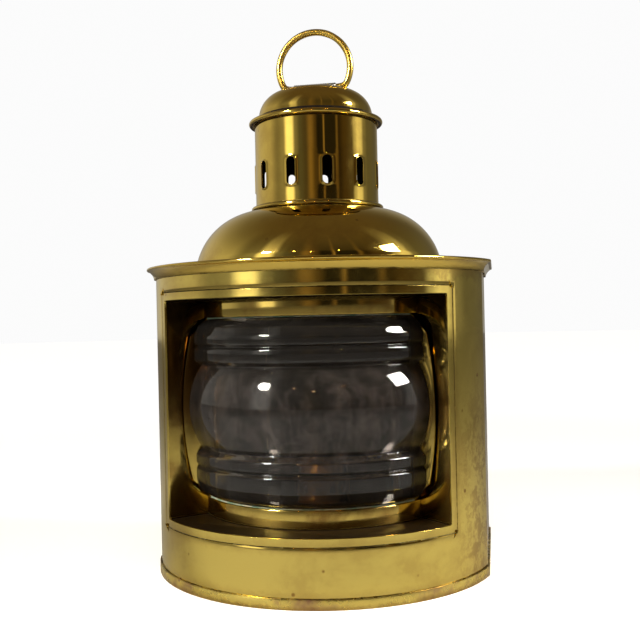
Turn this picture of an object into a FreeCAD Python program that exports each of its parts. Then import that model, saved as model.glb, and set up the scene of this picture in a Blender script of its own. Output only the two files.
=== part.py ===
import FreeCAD, Part
import math
import os
import re
import Sketcher

# A small sheet-brass ship lantern.  +Z is up, the glass faces -Y and the flat back faces +Y.
# The origin lies on the underside, on the upright axis that the lens, dome and chimney share.
# Lengths are millimetres and angles are degrees.

SIZES = {
    # body
    "body_width": 166.0,          # outside, across the flat sides
    "front_fullness": 3.0,        # radius of the curved front, over half the width
    "front_centre": 8.4,          # how far the centre of that curve lies behind the lens axis
    "back_plane": 66.0,           # outside of the body at the back
    "body_sheet": 0.9,
    "return_flange": 9.0,         # body sheet folded in at the back
    "base_sheet": 0.8,
    "base_band": 4.8,             # height of the upturned edge of the base
    "base_fit": 0.1,              # gap between the body and the upturned edge
    "vent_radius": 2.4,
    "vent_circle": 47.0,
    "vent_count": 12,
    # window recess
    "window_half_angle": 52.0,
    "window_bottom": 30.6,
    "window_head": 16.6,          # window's top edge below the top plate's upper face
    "window_flange": 3.9,         # width of the flush strip round the window
    "window_seam": 0.15,          # open seam between that strip and the body
    "collar_radius": 60.5,
    "glass_sill": 9.2,            # from the window's edge to the glass, below and above
    "collar_half_angle": 60.5,
    "seat_sheet": 0.9,
    "putty": 0.3,
    # lens
    "lens_half_angle": 56.25,
    "lens_inner": 54.5,
    "lens_seat": 59.5,
    "lens_rib": 66.9,
    "lens_notch": 63.6,
    "lens_belly": 69.9,
    "ribs_below": 24.2,           # height of the ribbed zone under the bulge
    "ribs_above": 22.7,
    "first_rib": 16.0,            # height of the lowest rib
    "last_rib": 13.5,             # height of the topmost rib
    "rib_round": 1.3,
    "rib_groove": 1.5,
    "lens_shoulder": 8.5,         # height of the sloping shoulder at each end
    "cheek_stand": 8.55,          # cheek's bowed edge short of the wing, along the cheek
    "cheek_bow": 4.3,             # rise of that edge from its corners to its middle
    "cheek_sheet": 1.0,
    "cheek_gap_angle": 0.35,
    # top plate and hood
    "plate_top": 153.0,
    "plate_sheet": 0.9,
    "plate_rim": 1.5,
    "plate_overhang": 4.6,
    "plate_back_overhang": 2.0,
    "cove_drop": 5.6,
    "cove_foot": 1.0,
    "plate_hole": 54.0,
    "dome_radius": 62.1,
    "dome_foot": 3.0,
    "dome_curve": 34.0,
    "dome_sheet": 0.8,
    # chimney and cap
    "chimney_radius": 31.5,
    "chimney_sheet": 0.7,
    "chimney_rise": 74.2,         # chimney's top above the top plate
    "slot_width": 4.7,
    "slot_height": 13.9,
    "slot_rise": 45.2,            # middle of the slots above the top plate
    "slot_count": 11,
    "slot_turn": -12.5,
    "foot_bead": 1.2,
    "cap_rise": 15.4,             # cap's flat top above the chimney's top
    "cap_inset": 2.2,             # foot of the cap's dome inside the chimney's radius
    "cap_curve": 13.8,            # radius of the cap's shoulder
    "cap_sheet": 0.7,
    "cap_bead": 1.3,
    "cap_fit": 0.3,
    "cap_rim_drop": 1.0,          # middle of the rolled rim below the chimney's top
    # ring handle
    "ring_radius": 18.7,          # to the middle of the wire
    "ring_wire": 1.7,
    "ring_corner": 4.0,
    "ring_rise": 10.3,            # middle of the ring above its straight bar
    "saddle_fit": 0.08,
    "saddle_wall": 0.52,
    "saddle_length": 22.4,
    # back panel and door
    "panel_sheet": 0.9,
    "panel_gap": 0.2,
    "panel_rivet_low": 18.0,      # lowest rivet of the back panel
    "panel_rivet_head": 15.0,     # its highest rivet below the top plate's upper face
    "door_half_width": 53.0,
    "door_bottom": 11.0,
    "door_head": 34.0,            # door's top edge below the top plate's upper face
    "door_lap": 3.5,              # how far the door covers the panel round its opening
    "door_sheet": 1.0,
    "door_gap": 0.3,
    "reflector_half_width": 38.0,
    "reflector_curve": 72.0,
    "reflector_inset": 11.0,      # reflector's ends inside the door's
    "reflector_sheet": 0.5,
    # hinges, catch, knob
    "hinge_inset": 23.0,          # middle of each hinge from the door's end
    "hinge_length": 16.0,
    "hinge_leaf": 0.8,
    "hinge_leaf_width": 11.0,
    "hinge_knuckle": 1.9,
    "hinge_pin": 0.9,
    "hinge_fit": 0.06,
    "hinge_side_gap": 2.6,
    "knuckle_gap": 0.3,
    "rivet_shank": 1.0,
    "rivet_head": 2.0,
    "rivet_rise": 0.9,
    "catch_side_gap": 7.5,
    "catch_length": 26.0,
    "catch_width": 7.0,
    "catch_sheet": 1.2,
    "catch_post": 2.4,
    "catch_shank": 1.3,
    "catch_fit": 0.07,
    "knob_inset": 17.0,
    "knob_radius": 5.0,
    "knob_neck": 2.6,
    "knob_length": 12.0,
    # socket for a bulkhead bracket
    "socket_half_slot": 14.5,
    "socket_depth": 5.2,
    "socket_sheet": 1.2,
    "socket_flange": 10.0,
    "socket_drop": 30.5,          # socket's lower end below the top plate's upper face
    "socket_height": 22.0,
    # lamp
    "font_radius": 30.0,
    "font_bottom": 1.1,
    "font_shoulder": 23.5,
    "font_top": 27.0,
    "font_sheet": 0.6,
    "font_mouth": 10.6,
    "ring_fit": 0.3,
    "ring_height": 6.0,
    "ring_sheet": 1.0,
    "collar_wall": 1.6,
    "collar_height": 4.0,
    "burner_neck": 10.2,
    "burner_sheet": 0.7,
    "burner_radius": 13.5,
    "burner_bottom": 31.4,
    "burner_rim": 44.5,
    "burner_hole": 1.3,
    "burner_hole_count": 12,
    "cone_top": 58.0,
    "cone_slot": 3.6,
    "tube_wall": 0.5,
    "tube_top": 54.0,
    "tube_bottom": 28.0,
    "wick_width": 15.0,
    "wick_thickness": 1.8,
    "wick_clearance": 0.3,
    "wick_bottom": 9.0,
    "wick_top": 59.5,
    "wheel_radius": 3.2,
    "wheel_width": 2.0,
    "wheel_place": 4.0,
    "wheel_clearance": 0.2,
    "shaft_radius": 1.0,
    "shaft_fit": 0.08,
    "shaft_level": 38.0,
    "shaft_reach": 6.0,           # winder shaft past the side of the tank
    "wick_knob_radius": 7.0,
    "wick_knob_width": 2.4,
    "filler_set": 9.3,            # filler's axis out from the collar
    "filler_turn": 50.0,
    "filler_radius": 5.0,
    "filler_neck": 3.6,
    "filler_neck_rise": 5.0,
    "filler_cap_height": 4.2,
    "filler_fit": 0.1,
}

# Places that follow from the sizes above; a name may use the ones before it.
FOLLOWING = {
    "front_radius": "(body_width / 2 + front_fullness)",
    "window_top": "(plate_top - window_head)",
    "lens_bottom": "(window_bottom + glass_sill)",
    "lens_top": "(window_top - glass_sill)",
    "belly_bottom": "(lens_bottom + ribs_below)",
    "belly_top": "(lens_top - ribs_above)",
    "rib_split_low": "(lens_bottom + first_rib)",
    "rib_split_high": "(lens_top - last_rib)",
    "wing_front_x": "((front_radius - body_sheet) * sin(window_half_angle * 1 deg))",
    "wing_front_y": "(front_centre - (front_radius - body_sheet) * cos(window_half_angle * 1 deg))",
    "wing_back_x": "(collar_radius * sin(collar_half_angle * 1 deg))",
    "wing_back_y": "(-collar_radius * cos(collar_half_angle * 1 deg))",
    "cheek_x": "sin((lens_half_angle + cheek_gap_angle) * 1 deg)",
    "cheek_y": "(-cos((lens_half_angle + cheek_gap_angle) * 1 deg))",
    "wing_cross": "(wing_front_x * wing_back_y - wing_front_y * wing_back_x)",
    "wing_slant": "(cheek_x * (wing_back_y - wing_front_y) - cheek_y * (wing_back_x - wing_front_x))",
    "cheek_middle": "(wing_cross / wing_slant - cheek_stand)",
    "cheek_corner": "(cheek_middle - cheek_bow)",
    "chimney_top": "(plate_top + chimney_rise)",
    "slot_middle": "(plate_top + slot_rise)",
    "cap_top": "(chimney_top + cap_rise)",
    "cap_dome": "(chimney_radius - cap_inset)",
    "cap_flat": "(cap_dome - cap_curve)",
    "door_top": "(plate_top - door_head)",
    "reflector_bottom": "(door_bottom + reflector_inset)",
    "reflector_top": "(door_top - reflector_inset)",
    "hinge_low": "(door_bottom + hinge_inset)",
    "hinge_high": "(door_top - hinge_inset)",
    "catch_middle": "((door_bottom + door_top) / 2)",
    "socket_bottom": "(plate_top - socket_drop)",
    "shaft_end": "(font_radius + shaft_reach)",
    "filler_place": "(font_mouth + collar_wall + filler_set)",
}

doc = FreeCAD.newDocument("ship_lantern")
sheet = doc.addObject("Spreadsheet::Sheet", "Sizes")
for row, (word, size) in enumerate(SIZES.items(), start=1):
    sheet.set(f"A{row}", word)
    sheet.set(f"B{row}", str(size))
    sheet.setAlias(f"B{row}", word)
doc.recompute()

WORDS = re.compile(r"\b(" + "|".join(SIZES) + r")\b")
FOLLOWING_WORDS = re.compile(r"\b(" + "|".join(FOLLOWING) + r")\b")
pieces = []


# ---------------------------------------------------------------- helpers

def bound(text):
    """Expression text in which each size's name points at its cell."""
    text = str(text)
    while FOLLOWING_WORDS.search(text):
        text = FOLLOWING_WORDS.sub(lambda found: FOLLOWING[found.group(1)], text)
    return WORDS.sub(r"Sizes.\1", text)


def value(text):
    """Number that an expression has with the present sizes."""
    result = sheet.evalExpression(bound(text))
    return float(getattr(result, "Value", result))


def tie(thing, prop, text):
    thing.setExpression(prop, bound(text))


def keep(thing, label):
    """Marks a finished piece with the name of its file."""
    thing.Label = label
    pieces.append(thing)
    return thing


def new_body(name):
    return doc.addObject("PartDesign::Body", name)


def origin_feature(body, role):
    return next(item for item in body.Origin.OriginFeatures if item.Role == role)


def draw(body, plane, outlines, lift="0", circles=()):
    """Closed outlines on an origin plane.

    A corner is (x, y), or (x, y, (centre x, centre y, radius, turn)) where the edge that leaves it
    is an arc: turn is 1 for anticlockwise and -1 for clockwise.  Circles are (x, y, radius).
    """
    sketch = body.newObject("Sketcher::SketchObject", body.Name + "_outline")
    sketch.AttachmentSupport = [(origin_feature(body, plane), "")]
    sketch.MapMode = "FlatFace"
    tie(sketch, "AttachmentOffset.Base.z", lift)
    for outline in outlines:
        first = sketch.GeometryCount
        count = len(outline)
        places = [FreeCAD.Vector(value(corner[0]), value(corner[1]), 0) for corner in outline]
        for index, corner in enumerate(outline):
            start = places[index]
            end = places[(index + 1) % count]
            if len(corner) == 3:
                add_arc(sketch, start, end, corner[2])
            else:
                sketch.addGeometry(Part.LineSegment(start, end), False)
        for index, corner in enumerate(outline):
            edge = first + index
            following = first + (index + 1) % count
            start_point = edge_point(outline[index], "start")
            join = (edge, edge_point(corner, "end"), following,
                    edge_point(outline[(index + 1) % count], "start"))
            sketch.addConstraint(Sketcher.Constraint("Coincident", *join))
            place_point(sketch, edge, start_point, corner)
            if len(corner) == 3:
                chord = places[(index + 1) % count] - places[index]
                place_centre(sketch, edge, corner[2], abs(chord.x) > abs(chord.y))
    for across, up, radius in circles:
        middle = FreeCAD.Vector(value(across), value(up), 0)
        circle = Part.Circle(middle, FreeCAD.Vector(0, 0, 1), value(radius))
        edge = sketch.addGeometry(circle, False)
        place_point(sketch, edge, 3, (across, up))
        number = sketch.addConstraint(Sketcher.Constraint("Radius", edge, value(radius)))
        tie(sketch, f"Constraints[{number}]", radius)
    return sketch


def edge_point(corner, which):
    """Vertex number of an edge's start or end; a clockwise arc is stored the other way round."""
    backwards = len(corner) == 3 and corner[2][3] < 0
    if which == "start":
        return 2 if backwards else 1
    return 1 if backwards else 2


def add_arc(sketch, start, end, arc):
    middle = FreeCAD.Vector(value(arc[0]), value(arc[1]), 0)
    first, last = (start, end) if arc[3] > 0 else (end, start)
    begin = math.atan2(first.y - middle.y, first.x - middle.x)
    finish = math.atan2(last.y - middle.y, last.x - middle.x)
    if finish <= begin:
        finish += 2 * math.pi
    circle = Part.Circle(middle, FreeCAD.Vector(0, 0, 1), value(arc[2]))
    sketch.addGeometry(Part.ArcOfCircle(circle, begin, finish), False)


def place_centre(sketch, edge, arc, upright):
    """Ties an arc's centre in the one direction that its fixed ends leave open."""
    kind, text = ("DistanceY", arc[1]) if upright else ("DistanceX", arc[0])
    number = sketch.addConstraint(Sketcher.Constraint(kind, -1, 1, edge, 3, value(text)))
    tie(sketch, f"Constraints[{number}]", text)


def place_point(sketch, edge, point, corner):
    for kind, text in (("DistanceX", corner[0]), ("DistanceY", corner[1])):
        number = sketch.addConstraint(
            Sketcher.Constraint(kind, -1, 1, edge, point, value(text)))
        tie(sketch, f"Constraints[{number}]", text)


def rectangle(left, right, low, high):
    return [(left, low), (right, low), (right, high), (left, high)]


def pad(body, sketch, length, backwards=False):
    feature = body.newObject("PartDesign::Pad", body.Name + "_pad")
    feature.Profile = sketch
    tie(feature, "Length", length)
    feature.Reversed = backwards
    return feature


def pocket(body, sketch, length, backwards=False):
    feature = body.newObject("PartDesign::Pocket", body.Name + "_pocket")
    feature.Profile = sketch
    tie(feature, "Length", length)
    feature.Reversed = backwards
    return feature


def revolve(body, sketch, angle="360", kind="Revolution"):
    feature = body.newObject("PartDesign::" + kind, body.Name + "_turned")
    feature.Profile = sketch
    feature.ReferenceAxis = (sketch, ["V_Axis"])
    if value(angle) < 360:
        feature.Midplane = True
        tie(feature, "Angle", angle)
    return feature


def ring_pattern(body, feature, count):
    pattern = body.newObject("PartDesign::PolarPattern", body.Name + "_pattern")
    pattern.Originals = [feature]
    pattern.Axis = (origin_feature(body, "Z_Axis"), [""])
    pattern.Angle = 360
    tie(pattern, "Occurrences", count)
    body.Tip = pattern
    return pattern


def turned(name, outline, angle="360", turn="0", shift_y="0"):
    """Body made by turning an outline of (radius, height) corners about the upright axis."""
    body = new_body(name)
    revolve(body, draw(body, "XZ_Plane", [outline]), angle)
    tie(body, "Placement.Rotation.Angle", f"({turn}) * 1 deg")
    tie(body, "Placement.Base.y", shift_y)
    return body


def flat(name, plane, outlines, thickness, lift="0", circles=(), backwards=False):
    body = new_body(name)
    pad(body, draw(body, plane, outlines, lift, circles), thickness, backwards)
    return body


def box(name, left, right, front, back, low, high):
    block = doc.addObject("Part::Box", name)
    tie(block, "Length", f"({right}) - ({left})")
    tie(block, "Width", f"({back}) - ({front})")
    tie(block, "Height", f"({high}) - ({low})")
    tie(block, "Placement.Base.x", left)
    tie(block, "Placement.Base.y", front)
    tie(block, "Placement.Base.z", low)
    return block


AXES = {"x": (FreeCAD.Vector(0, 1, 0), 90), "y": (FreeCAD.Vector(1, 0, 0), -90),
        "z": (FreeCAD.Vector(0, 0, 1), 0)}


def rod(name, axis, radius, length, x="0", y="0", z="0"):
    """Cylinder from a point along +X, +Y or +Z."""
    bar = doc.addObject("Part::Cylinder", name)
    about, angle = AXES[axis]
    bar.Placement = FreeCAD.Placement(FreeCAD.Vector(0, 0, 0), FreeCAD.Rotation(about, angle))
    tie(bar, "Radius", radius)
    tie(bar, "Height", length)
    tie(bar, "Placement.Base.x", x)
    tie(bar, "Placement.Base.y", y)
    tie(bar, "Placement.Base.z", z)
    return bar


def fuse(name, *parts):
    joined = doc.addObject("Part::MultiFuse", name)
    joined.Shapes = list(parts)
    joined.Refine = True
    return joined


def cut(name, base, *tools):
    tool = tools[0] if len(tools) == 1 else fuse(name + "_tools", *tools)
    result = doc.addObject("Part::Cut", name)
    result.Base = base
    result.Tool = tool
    result.Refine = True
    return result


def group(label, parts):
    """Several separate solids that share one node."""
    together = doc.addObject("Part::Compound", label)
    together.Links = list(parts)
    return keep(together, label)


def body_outline(grow, back):
    """Plan of the body: curved front, straight sides and flat back, grown outwards."""
    half = f"body_width / 2 + ({grow})"
    radius = f"front_radius + ({grow})"
    side = f"front_centre - sqrt(({radius})^2 - ({half})^2)"
    front = ("0", "front_centre", radius, 1)
    return [(f"-({half})", side, front), (half, side), (half, back), (f"-({half})", back)]


def on_front(radius, angle, side):
    """Point at an angle from the front, about the centre of the curved front."""
    return (f"{side} * ({radius}) * sin(({angle}) * 1 deg)",
            f"front_centre - ({radius}) * cos(({angle}) * 1 deg)")


def on_axis(radius, angle, side):
    """Point at an angle from the front, about the lens axis."""
    return (f"{side} * ({radius}) * sin(({angle}) * 1 deg)",
            f"-({radius}) * cos(({angle}) * 1 deg)")


def degrees_of(length, radius):
    return f"({length}) / ({radius}) * 180 / pi"


FRONT_FACING = "-90"
INSIDE_FRONT = "front_radius - body_sheet"
BODY_TOP = "plate_top - plate_sheet"
PANEL_BACK = "back_plane + panel_sheet"
DOOR_INSIDE = "back_plane + panel_sheet + door_gap"
DOOR_OUTSIDE = "back_plane + panel_sheet + door_gap + door_sheet"
FLANGE_ANGLE = "window_half_angle + " + degrees_of("window_flange", "front_radius")


# ---------------------------------------------------------------- body and base

def make_body_shell():
    body = new_body("body_shell")
    walls = [body_outline("0", "back_plane"),
             body_outline("-body_sheet", "back_plane - body_sheet")]
    pad(body, draw(body, "XY_Plane", walls, "base_sheet"), f"{BODY_TOP} - base_sheet")
    reach = "front_radius * 1.25"
    wedge = [("0", "front_centre"), on_front(reach, FLANGE_ANGLE, -1),
             ("0", "front_centre - front_radius * 1.6"), on_front(reach, FLANGE_ANGLE, 1)]
    window = draw(body, "XY_Plane", [wedge], "window_top + window_flange")
    pocket(body, window, "window_top - window_bottom + 2 * window_flange")
    half = "body_width / 2 - return_flange"
    gap = rectangle(f"-({half})", half, "back_plane - 2 * body_sheet", "back_plane + 1")
    pocket(body, draw(body, "XY_Plane", [gap], BODY_TOP), f"{BODY_TOP} - base_sheet")
    keep(body, "body_shell")


def make_base_pan():
    body = new_body("base_pan")
    grow = "base_fit + base_sheet"
    back = f"back_plane + {grow}"
    pad(body, draw(body, "XY_Plane", [body_outline(grow, back)]), "base_band")
    hollow = draw(body, "XY_Plane", [body_outline("base_fit", "back_plane + base_fit")], "base_band")
    pocket(body, hollow, "base_band - base_sheet")
    vent = draw(body, "XY_Plane", [], "base_sheet", [("vent_circle", "0", "vent_radius")])
    ring_pattern(body, pocket(body, vent, "2 * base_sheet"), "vent_count")
    keep(body, "base_pan")


# ---------------------------------------------------------------- window recess

def make_window_frame():
    body = new_body("window_frame")
    strip = rectangle(INSIDE_FRONT, "front_radius", "window_bottom - window_flange + window_seam",
                      "window_top + window_flange - window_seam")
    seam_angle = degrees_of("window_seam", "front_radius")
    revolve(body, draw(body, "XZ_Plane", [strip]), f"2 * ({FLANGE_ANGLE} - {seam_angle})")
    hole = rectangle("front_radius - 3 * body_sheet", "front_radius + 1",
                     "window_bottom", "window_top")
    revolve(body, draw(body, "XZ_Plane", [hole]), "2 * window_half_angle", "Groove")
    tie(body, "Placement.Rotation.Angle", f"({FRONT_FACING}) * 1 deg")
    tie(body, "Placement.Base.y", "front_centre")
    keep(body, "window_frame")


def make_wings():
    outer_turn = degrees_of("body_sheet", "front_radius")
    inner_turn = degrees_of("body_sheet", "collar_radius")
    for side, label in ((-1, "left_wing"), (1, "right_wing")):
        plan = [on_front(INSIDE_FRONT, "window_half_angle", side),
                on_axis("collar_radius", "collar_half_angle", side),
                on_axis("collar_radius", f"collar_half_angle + {inner_turn}", side),
                on_front(INSIDE_FRONT, f"window_half_angle + {outer_turn}", side)]
        wing = flat(label, "XY_Plane", [plan], "window_top - window_bottom", "window_bottom")
        keep(wing, label)


def make_recess_floor_and_ceiling():
    outer = f"window_half_angle + {degrees_of('body_sheet', 'front_radius')}"
    inner = f"collar_half_angle + {degrees_of('body_sheet', 'collar_radius')}"
    plan = [on_front(INSIDE_FRONT, outer, -1) + (("0", "front_centre", INSIDE_FRONT, 1),),
            on_front(INSIDE_FRONT, outer, 1),
            on_axis("collar_radius", inner, 1) + (("0", "0", "collar_radius", -1),),
            on_axis("collar_radius", inner, -1)]
    for label, level in (("window_shelf", "window_bottom - seat_sheet"),
                         ("window_ceiling", "window_top")):
        keep(flat(label, "XY_Plane", [plan], "seat_sheet", level), label)


def make_lens_collars():
    angle = "2 * collar_half_angle"
    wall = "collar_radius - seat_sheet"
    low_seat = "lens_bottom - putty"
    lower = [(wall, "window_bottom - seat_sheet"), ("collar_radius", "window_bottom - seat_sheet"),
             ("collar_radius", low_seat), ("lens_inner", low_seat),
             ("lens_inner", f"{low_seat} - seat_sheet"), (wall, f"{low_seat} - seat_sheet")]
    keep(turned("lower_lens_collar", lower, angle, FRONT_FACING), "lower_lens_collar")
    high_seat = "lens_top + putty"
    upper = [(wall, "window_top + seat_sheet"), (wall, f"{high_seat} + seat_sheet"),
             ("lens_inner", f"{high_seat} + seat_sheet"), ("lens_inner", high_seat),
             ("collar_radius", high_seat), ("collar_radius", "window_top + seat_sheet")]
    keep(turned("upper_lens_collar", upper, angle, FRONT_FACING), "upper_lens_collar")


def make_lens():
    bulge = "(lens_belly - lens_notch)"
    half = "((belly_top - belly_bottom) / 2)"
    curve = f"({half}^2 + {bulge}^2) / (2 * {bulge})"
    belly = (f"lens_belly - {curve}", "(belly_top + belly_bottom) / 2", curve, 1)
    outline = [("lens_inner", "lens_bottom"), ("lens_seat", "lens_bottom"),
               ("lens_rib", "lens_bottom + lens_shoulder"),
               ("lens_rib", "rib_split_low - rib_round"),
               ("lens_rib - rib_groove", "rib_split_low"),
               ("lens_rib", "rib_split_low + rib_round"),
               ("lens_rib", "belly_bottom - 2 * rib_round"),
               ("lens_notch", "belly_bottom", belly),
               ("lens_notch", "belly_top"),
               ("lens_rib", "belly_top + 2 * rib_round"),
               ("lens_rib", "rib_split_high - rib_round"),
               ("lens_rib - rib_groove", "rib_split_high"),
               ("lens_rib", "rib_split_high + rib_round"),
               ("lens_rib", "lens_top - lens_shoulder"),
               ("lens_seat", "lens_top"), ("lens_inner", "lens_top")]
    keep(turned("fresnel_lens", outline, "2 * lens_half_angle", FRONT_FACING), "fresnel_lens")
    beds = []
    for number, low in enumerate(("lens_bottom - putty", "lens_top")):
        bed = rectangle("lens_inner", "lens_seat", low, f"{low} + putty")
        beds.append(turned(f"putty_{number}", bed, "2 * lens_half_angle", FRONT_FACING))
    group("lens_putty", beds)


def make_lens_channels():
    """Sheet cheeks that close the two upright ends of the glass."""
    low = "lens_bottom + lens_shoulder"
    high = "lens_top - lens_shoulder"
    bulge = "(cheek_middle - cheek_corner)"
    half = f"(({high} - ({low})) / 2)"
    curve = f"({half}^2 + {bulge}^2) / (2 * {bulge})"
    edge = (f"cheek_middle - {curve}", "(lens_top + lens_bottom) / 2", curve, 1)
    outline = [("lens_inner", "lens_bottom"), ("collar_radius", "lens_bottom"),
               ("cheek_corner", low, edge), ("cheek_corner", high),
               ("collar_radius", "lens_top"), ("lens_inner", "lens_top")]
    for side, label in ((-1, "left_lens_channel"), (1, "right_lens_channel")):
        cheek = flat(label, "XZ_Plane", [outline], "cheek_sheet", backwards=side > 0)
        turn = f"-90 + {side} * (lens_half_angle + cheek_gap_angle)"
        tie(cheek, "Placement.Rotation.Angle", f"({turn}) * 1 deg")
        keep(cheek, label)


# ---------------------------------------------------------------- top plate, hood, chimney, cap

def make_top_plate():
    body = new_body("top_plate")
    rim_back = "back_plane + plate_back_overhang"
    rim = body_outline("plate_overhang", rim_back)
    pad(body, draw(body, "XY_Plane", [rim], "plate_top - plate_rim"), "plate_rim")
    under = draw(body, "XY_Plane", [body_outline("plate_overhang - plate_rim / 2", rim_back)],
                 "plate_top - plate_rim")
    foot = draw(body, "XY_Plane", [body_outline("cove_foot", "back_plane + cove_foot")],
                "plate_top - cove_drop")
    cove = body.newObject("PartDesign::AdditiveLoft", "cove")
    cove.Profile = foot
    cove.Sections = [under]
    cove.Ruled = True
    inside = draw(body, "XY_Plane", [body_outline("base_fit", "back_plane + base_fit")],
                  "plate_top - cove_drop")
    pocket(body, inside, "cove_drop - plate_sheet", backwards=True)
    hole = draw(body, "XY_Plane", [], "plate_top", [("0", "0", "plate_hole")])
    pocket(body, hole, "2 * plate_sheet")
    keep(body, "top_plate")


def make_dome():
    centre_in = "(dome_radius - dome_curve * sin(75 deg))"
    centre_up = "(plate_top + dome_foot - dome_curve * cos(75 deg))"
    inner = "(dome_curve - dome_sheet)"
    top = f"{centre_up} + sqrt(dome_curve^2 - (chimney_radius - {centre_in})^2)"
    top_inside = f"{centre_up} + sqrt({inner}^2 - (chimney_radius - {centre_in})^2)"
    foot_inside = f"{centre_in} + {inner} * sin(75 deg)"
    outline = [("dome_radius - 0.5", "plate_top"),
               ("dome_radius", "plate_top + dome_foot", (centre_in, centre_up, "dome_curve", 1)),
               ("chimney_radius", top),
               ("chimney_radius", top_inside, (centre_in, centre_up, inner, -1)),
               (foot_inside, f"{centre_up} + {inner} * cos(75 deg)"),
               ("dome_radius - 0.5 - dome_sheet", "plate_top")]
    keep(turned("dome", outline), "dome")
    bead = doc.addObject("Part::Torus", "chimney_foot_ring")
    tie(bead, "Radius1", "chimney_radius + foot_bead")
    tie(bead, "Radius2", "foot_bead")
    tie(bead, "Placement.Base.z", f"{top} + foot_bead")
    keep(bead, "chimney_foot_ring")
    return top


def make_chimney(dome_top):
    body = new_body("chimney")
    wall = rectangle("chimney_radius - chimney_sheet", "chimney_radius",
                     f"{dome_top} - 2.5", "chimney_top")
    revolve(body, draw(body, "XZ_Plane", [wall]))
    half = "slot_width / 2"
    low = "slot_middle - slot_height / 2 + slot_width / 2"
    high = "slot_middle + slot_height / 2 - slot_width / 2"
    slot = [(f"-{half}", low, ("0", low, half, 1)), (half, low),
            (half, high, ("0", high, half, 1)), (f"-{half}", high)]
    slot_cut = pocket(body, draw(body, "XZ_Plane", [slot]), "chimney_radius * 1.2", backwards=True)
    ring_pattern(body, slot_cut, "slot_count")
    tie(body, "Placement.Rotation.Angle", "slot_turn * 1 deg")
    keep(body, "chimney")


def make_cap():
    rim_inside = "chimney_radius + cap_fit"
    rim_middle = "chimney_top - cap_rim_drop"
    bead_in = f"{rim_inside} + cap_bead"
    centre = ("cap_flat", "cap_top - cap_curve", "cap_curve")
    meet = "cap_top - cap_curve + sqrt(cap_curve^2 - (cap_dome - 0.2 - cap_flat)^2)"
    inner = "(cap_curve - cap_sheet)"
    meet_inside = f"cap_top - cap_curve + sqrt({inner}^2 - (cap_dome - 1.1 - cap_flat)^2)"
    outline = [("0", "cap_top"), ("0", "cap_top - cap_sheet"),
               ("cap_flat", "cap_top - cap_sheet", (centre[0], centre[1], inner, -1)),
               ("cap_dome - 1.1", meet_inside),
               (rim_inside, f"{rim_middle} + 0.9"),
               (rim_inside, f"{rim_middle} - cap_bead"),
               (bead_in, f"{rim_middle} - cap_bead", (bead_in, rim_middle, "cap_bead", 1)),
               (bead_in, f"{rim_middle} + cap_bead"),
               (rim_inside, f"{rim_middle} + cap_bead + 0.5"),
               ("cap_dome - 0.2", meet, (centre[0], centre[1], centre[2], 1)),
               ("cap_flat", "cap_top")]
    keep(turned("chimney_cap", outline), "chimney_cap")


def make_handle():
    bar = "(cap_top + saddle_wall + saddle_fit + ring_wire)"
    outer = "(ring_wire + saddle_fit + saddle_wall)"
    half = "saddle_length / 2"
    tube = rod("saddle_tube", "x", outer, "saddle_length", f"-{half}", "0", bar)
    foot = box("saddle_foot", f"-{half}", half, f"-{outer}", outer, "cap_top", f"{bar} - 0.6")
    bore = rod("saddle_bore", "x", "ring_wire + saddle_fit", "saddle_length + 2",
               f"-{half} - 1", "0", bar)
    keep(cut("handle_saddle", fuse("saddle_blank", tube, foot), bore), "handle_saddle")

    body = new_body("ring_handle")
    path = body.newObject("Sketcher::SketchObject", "ring_path")
    path.AttachmentSupport = [(origin_feature(body, "XZ_Plane"), "")]
    path.MapMode = "FlatFace"
    middle = value(f"{bar} + ring_rise")
    level = value(bar)
    reach = value("ring_radius - ring_corner")
    drop = value("ring_rise - ring_corner")
    corner_x = math.sqrt(reach ** 2 - drop ** 2)
    lean = math.atan2(drop, corner_x)
    up = FreeCAD.Vector(0, 0, 1)
    hoop = Part.Circle(FreeCAD.Vector(0, middle, 0), up, value("ring_radius"))
    path.addGeometry(Part.ArcOfCircle(hoop, -lean, math.pi + lean), False)
    left = Part.Circle(FreeCAD.Vector(-corner_x, level + value("ring_corner"), 0), up,
                       value("ring_corner"))
    path.addGeometry(Part.ArcOfCircle(left, math.pi + lean, 1.5 * math.pi), False)
    path.addGeometry(Part.LineSegment(FreeCAD.Vector(-corner_x, level, 0),
                                      FreeCAD.Vector(corner_x, level, 0)), False)
    right = Part.Circle(FreeCAD.Vector(corner_x, level + value("ring_corner"), 0), up,
                        value("ring_corner"))
    path.addGeometry(Part.ArcOfCircle(right, -0.5 * math.pi, -lean), False)
    for join in ((0, 2, 1, 1), (1, 2, 2, 1), (2, 2, 3, 1), (3, 2, 0, 1)):
        path.addConstraint(Sketcher.Constraint("Tangent", *join))
    path.addConstraint(Sketcher.Constraint("Horizontal", 2))
    path.addConstraint(Sketcher.Constraint("PointOnObject", 0, 3, -2))
    path.addConstraint(Sketcher.Constraint("Equal", 1, 3))
    for kind, place, text in (("DistanceY", (-1, 1, 0, 3), f"{bar} + ring_rise"),
                              ("DistanceY", (-1, 1, 2, 1), bar),
                              ("Radius", (0,), "ring_radius"), ("Radius", (1,), "ring_corner")):
        number = path.addConstraint(Sketcher.Constraint(kind, *place, value(text)))
        tie(path, f"Constraints[{number}]", text)
    section = draw(body, "YZ_Plane", [], "0", [("0", bar, "ring_wire")])
    pipe = body.newObject("PartDesign::AdditivePipe", "ring_wire_sweep")
    pipe.Profile = section
    pipe.Spine = (path, ["Edge1", "Edge2", "Edge3", "Edge4"])
    keep(body, "ring_handle")


# ---------------------------------------------------------------- back, door and fittings

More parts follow.
